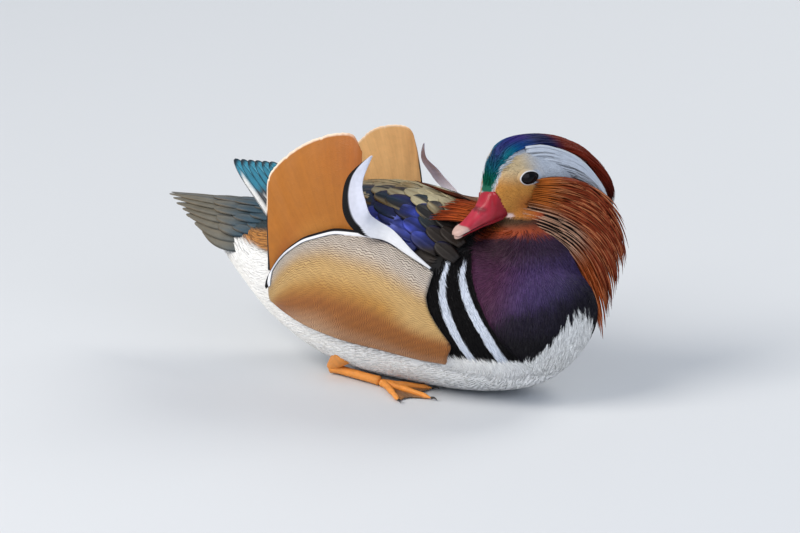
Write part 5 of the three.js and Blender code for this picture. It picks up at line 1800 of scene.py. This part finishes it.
def makeLeg(side):
    name, end = sideNames[side]
    heel, ankle, knee = (np.array(leg[key], float) * [1, side, 1] for key in ("heel", "ankle", "knee"))
    s = np.linspace(0, 1, 26)
    swell = 1 + 0.35 * np.exp(-(s / 0.1) ** 2) + 0.12 * np.exp(-((s - 1) / 0.1) ** 2) + 0.03 * np.sin(s * 60)
    legPiece("shank" + name, [tubeAlong(blend(heel, ankle, s[:, None]), leg["shank"] * swell),
                              tubeAlong(blend(heel, knee, s[:, None]), blend(leg["shank"], leg["thigh"], s))],
             lambda p: legColour(p, 2), "leg_" + end)
    root = np.array([leg["ankle"][0] + 2.8, (leg["ankle"][1] + 0.4) * side, 2.3])
    toes, claws, tips = [], [], []
    for turn, length in leg["toes"]:
        way = np.array([np.cos(side * turn), np.sin(side * turn), 0])
        tip = root + way * length * 0.94 + [0, 0, -1.05]
        tips.append(root + way * length * 0.93)
        line = blend(root - way * leg["toeBehind"], tip, s[:, None])
        line[:, 2] += 0.5 * np.sin(np.pi * s)
        radii = blend(2.1, 1.1, s) * (1 + 0.14 * np.sin(s * np.pi * 3) ** 2) * np.minimum(1, 6 * (1.02 - s))
        toes.append(tubeAlong(line, np.maximum(radii, 0.15)))
        t = np.linspace(0, 1, 12)[:, None]
        claw = tip - way * 1.2 + way * 5 * t + np.array([0, 0, 1]) * (0.9 * np.sin(np.pi * t) - 0.45 * t)
        claws.append(tubeAlong(claw, np.maximum(0.85 * (1 - t[:, 0]) ** 0.7, 0.04), 10))
    legPiece("toes" + name, toes, lambda p: legColour(p, 1), "foot_" + end)
    legPiece("claws" + name, claws, lambda p: plain(leg["claw"], p[:, 0]))

    def webPoint(u, v, z):
        first = u < 0.5
        a = np.where(first[..., None], tips[0], tips[1])
        b = np.where(first[..., None], tips[1], tips[2])
        w = np.where(first, 2 * u, 2 * u - 1)
        scallop = 1 - 0.16 * np.sin(np.pi * w)
        p = blend(root, blend(a, b, w[..., None]), (0.02 + 0.93 * v * scallop)[..., None])
        p[..., 2] = z + 0.18 * np.sin(w * 25 + v * 9) * v + 0.35 * (1 - np.sin(np.pi * w)) * (1 - v)
        return p

    def webColour(u, v, p, shown):
        share = 0.9 * np.abs(np.sin(2 * np.pi * u)) ** 0.5 * soft(0.1, 0.3, v)
        return toward(plain(leg["orange"], u), leg["web"], share)

    low, high = leg["webHeights"]
    web = slab("web" + name, lambda u, v: webPoint(u, v, high), lambda u, v: webPoint(u, v, low), leg["webCells"],
               webColour)
    dress(web, looks["leg"], "leg_skin")


looks["leg"] = hornMaterial("scaledLeg", {
    "mottle": 300.0, "contrast": 0.3, "rough": 0.5, "bump": 0.5, "scutes": 700.0})
for side in (1, -1):
    makeLeg(side)
print("legs")


# Floor, light and camera

studio = {
    "azimuth": 34, "elevation": 16, "distance": 8, "pixelsPerMm": 1.786, "originPixel": (417.5, 374.7),
    "imageSize": (800, 533), "floor": (205, 208, 212), "world": (190, 200, 214), "worldStrength": 0.75,
    # metres: how far the point in the middle of the picture lies toward the camera, and the end of its view
    "aimForward": 0.0165, "clipEnd": 60, "sensor": 36, "floorHalf": 9, "lampAim": (0, 0, 0.06),
    # name: place in metres, size, watts, colour
    "lamps": {"key": ((-0.9, -1.7, 1.6), 1.4, 56, (255, 248, 238)),
              "fill": ((1.9, -0.9, 0.8), 1.6, 16, (236, 242, 255)),
              "rim": ((0.3, 1.8, 1.6), 1.2, 26, (255, 250, 240))},
}


def setStage():
    corners = np.array([(-1, -1, 0), (1, -1, 0), (1, 1, 0), (-1, 1, 0)]) * studio["floorHalf"] / mm
    floorMesh = makeMesh("floor", corners, [np.array([[0, 1, 2, 3]])])
    material, tree, shader = startMaterial("paleFloor", {"Roughness": 0.6, "Specular IOR Level": 0.2})
    shader.inputs["Base Color"].default_value = (*linear(studio["floor"]), 1)
    floorMesh.data.materials.append(material)
    world = bpy.data.worlds.new("studio")
    world.use_nodes = True
    glow = world.node_tree.nodes["Background"].inputs
    glow[0].default_value, glow[1].default_value = (*linear(studio["world"]), 1), studio["worldStrength"]
    bpy.context.scene.world = world
    for name, (spot, size, power, colour) in studio["lamps"].items():
        lamp = bpy.data.lights.new(name, "AREA")
        lamp.size, lamp.energy, lamp.color = size, power, linear(colour)
        made = bpy.data.objects.new(name, lamp)
        made.location = spot
        made.rotation_euler = (Vector(studio["lampAim"]) - made.location).to_track_quat("-Z", "Y").to_euler()
        bpy.context.scene.collection.objects.link(made)


def setCamera():
    a, e = np.radians(studio["azimuth"]), np.radians(studio["elevation"])
    forward = np.array([np.sin(a) * np.cos(e), -np.cos(a) * np.cos(e), np.sin(e)])
    right = np.array([np.cos(a), np.sin(a), 0])
    upward = np.cross(forward, right)
    scale = studio["pixelsPerMm"] / mm
    wide, tall = studio["imageSize"]
    across, down = studio["originPixel"]
    aim = right * (wide / 2 - across) / scale + upward * (down - tall / 2) / scale + forward * studio["aimForward"]
    data = bpy.data.cameras.new("camera")
    data.sensor_width = studio["sensor"]
    data.lens = data.sensor_width * studio["distance"] * scale / wide
    data.clip_end = studio["clipEnd"]
    camera = bpy.data.objects.new("camera", data)
    camera.location = aim + forward * studio["distance"]
    camera.rotation_euler = Vector(-forward).to_track_quat("-Z", "Y").to_euler()
    bpy.context.scene.collection.objects.link(camera)
    bpy.context.scene.camera = camera
    bpy.context.scene.view_settings.view_transform = "Standard"


setStage()
setCamera()
print("done")
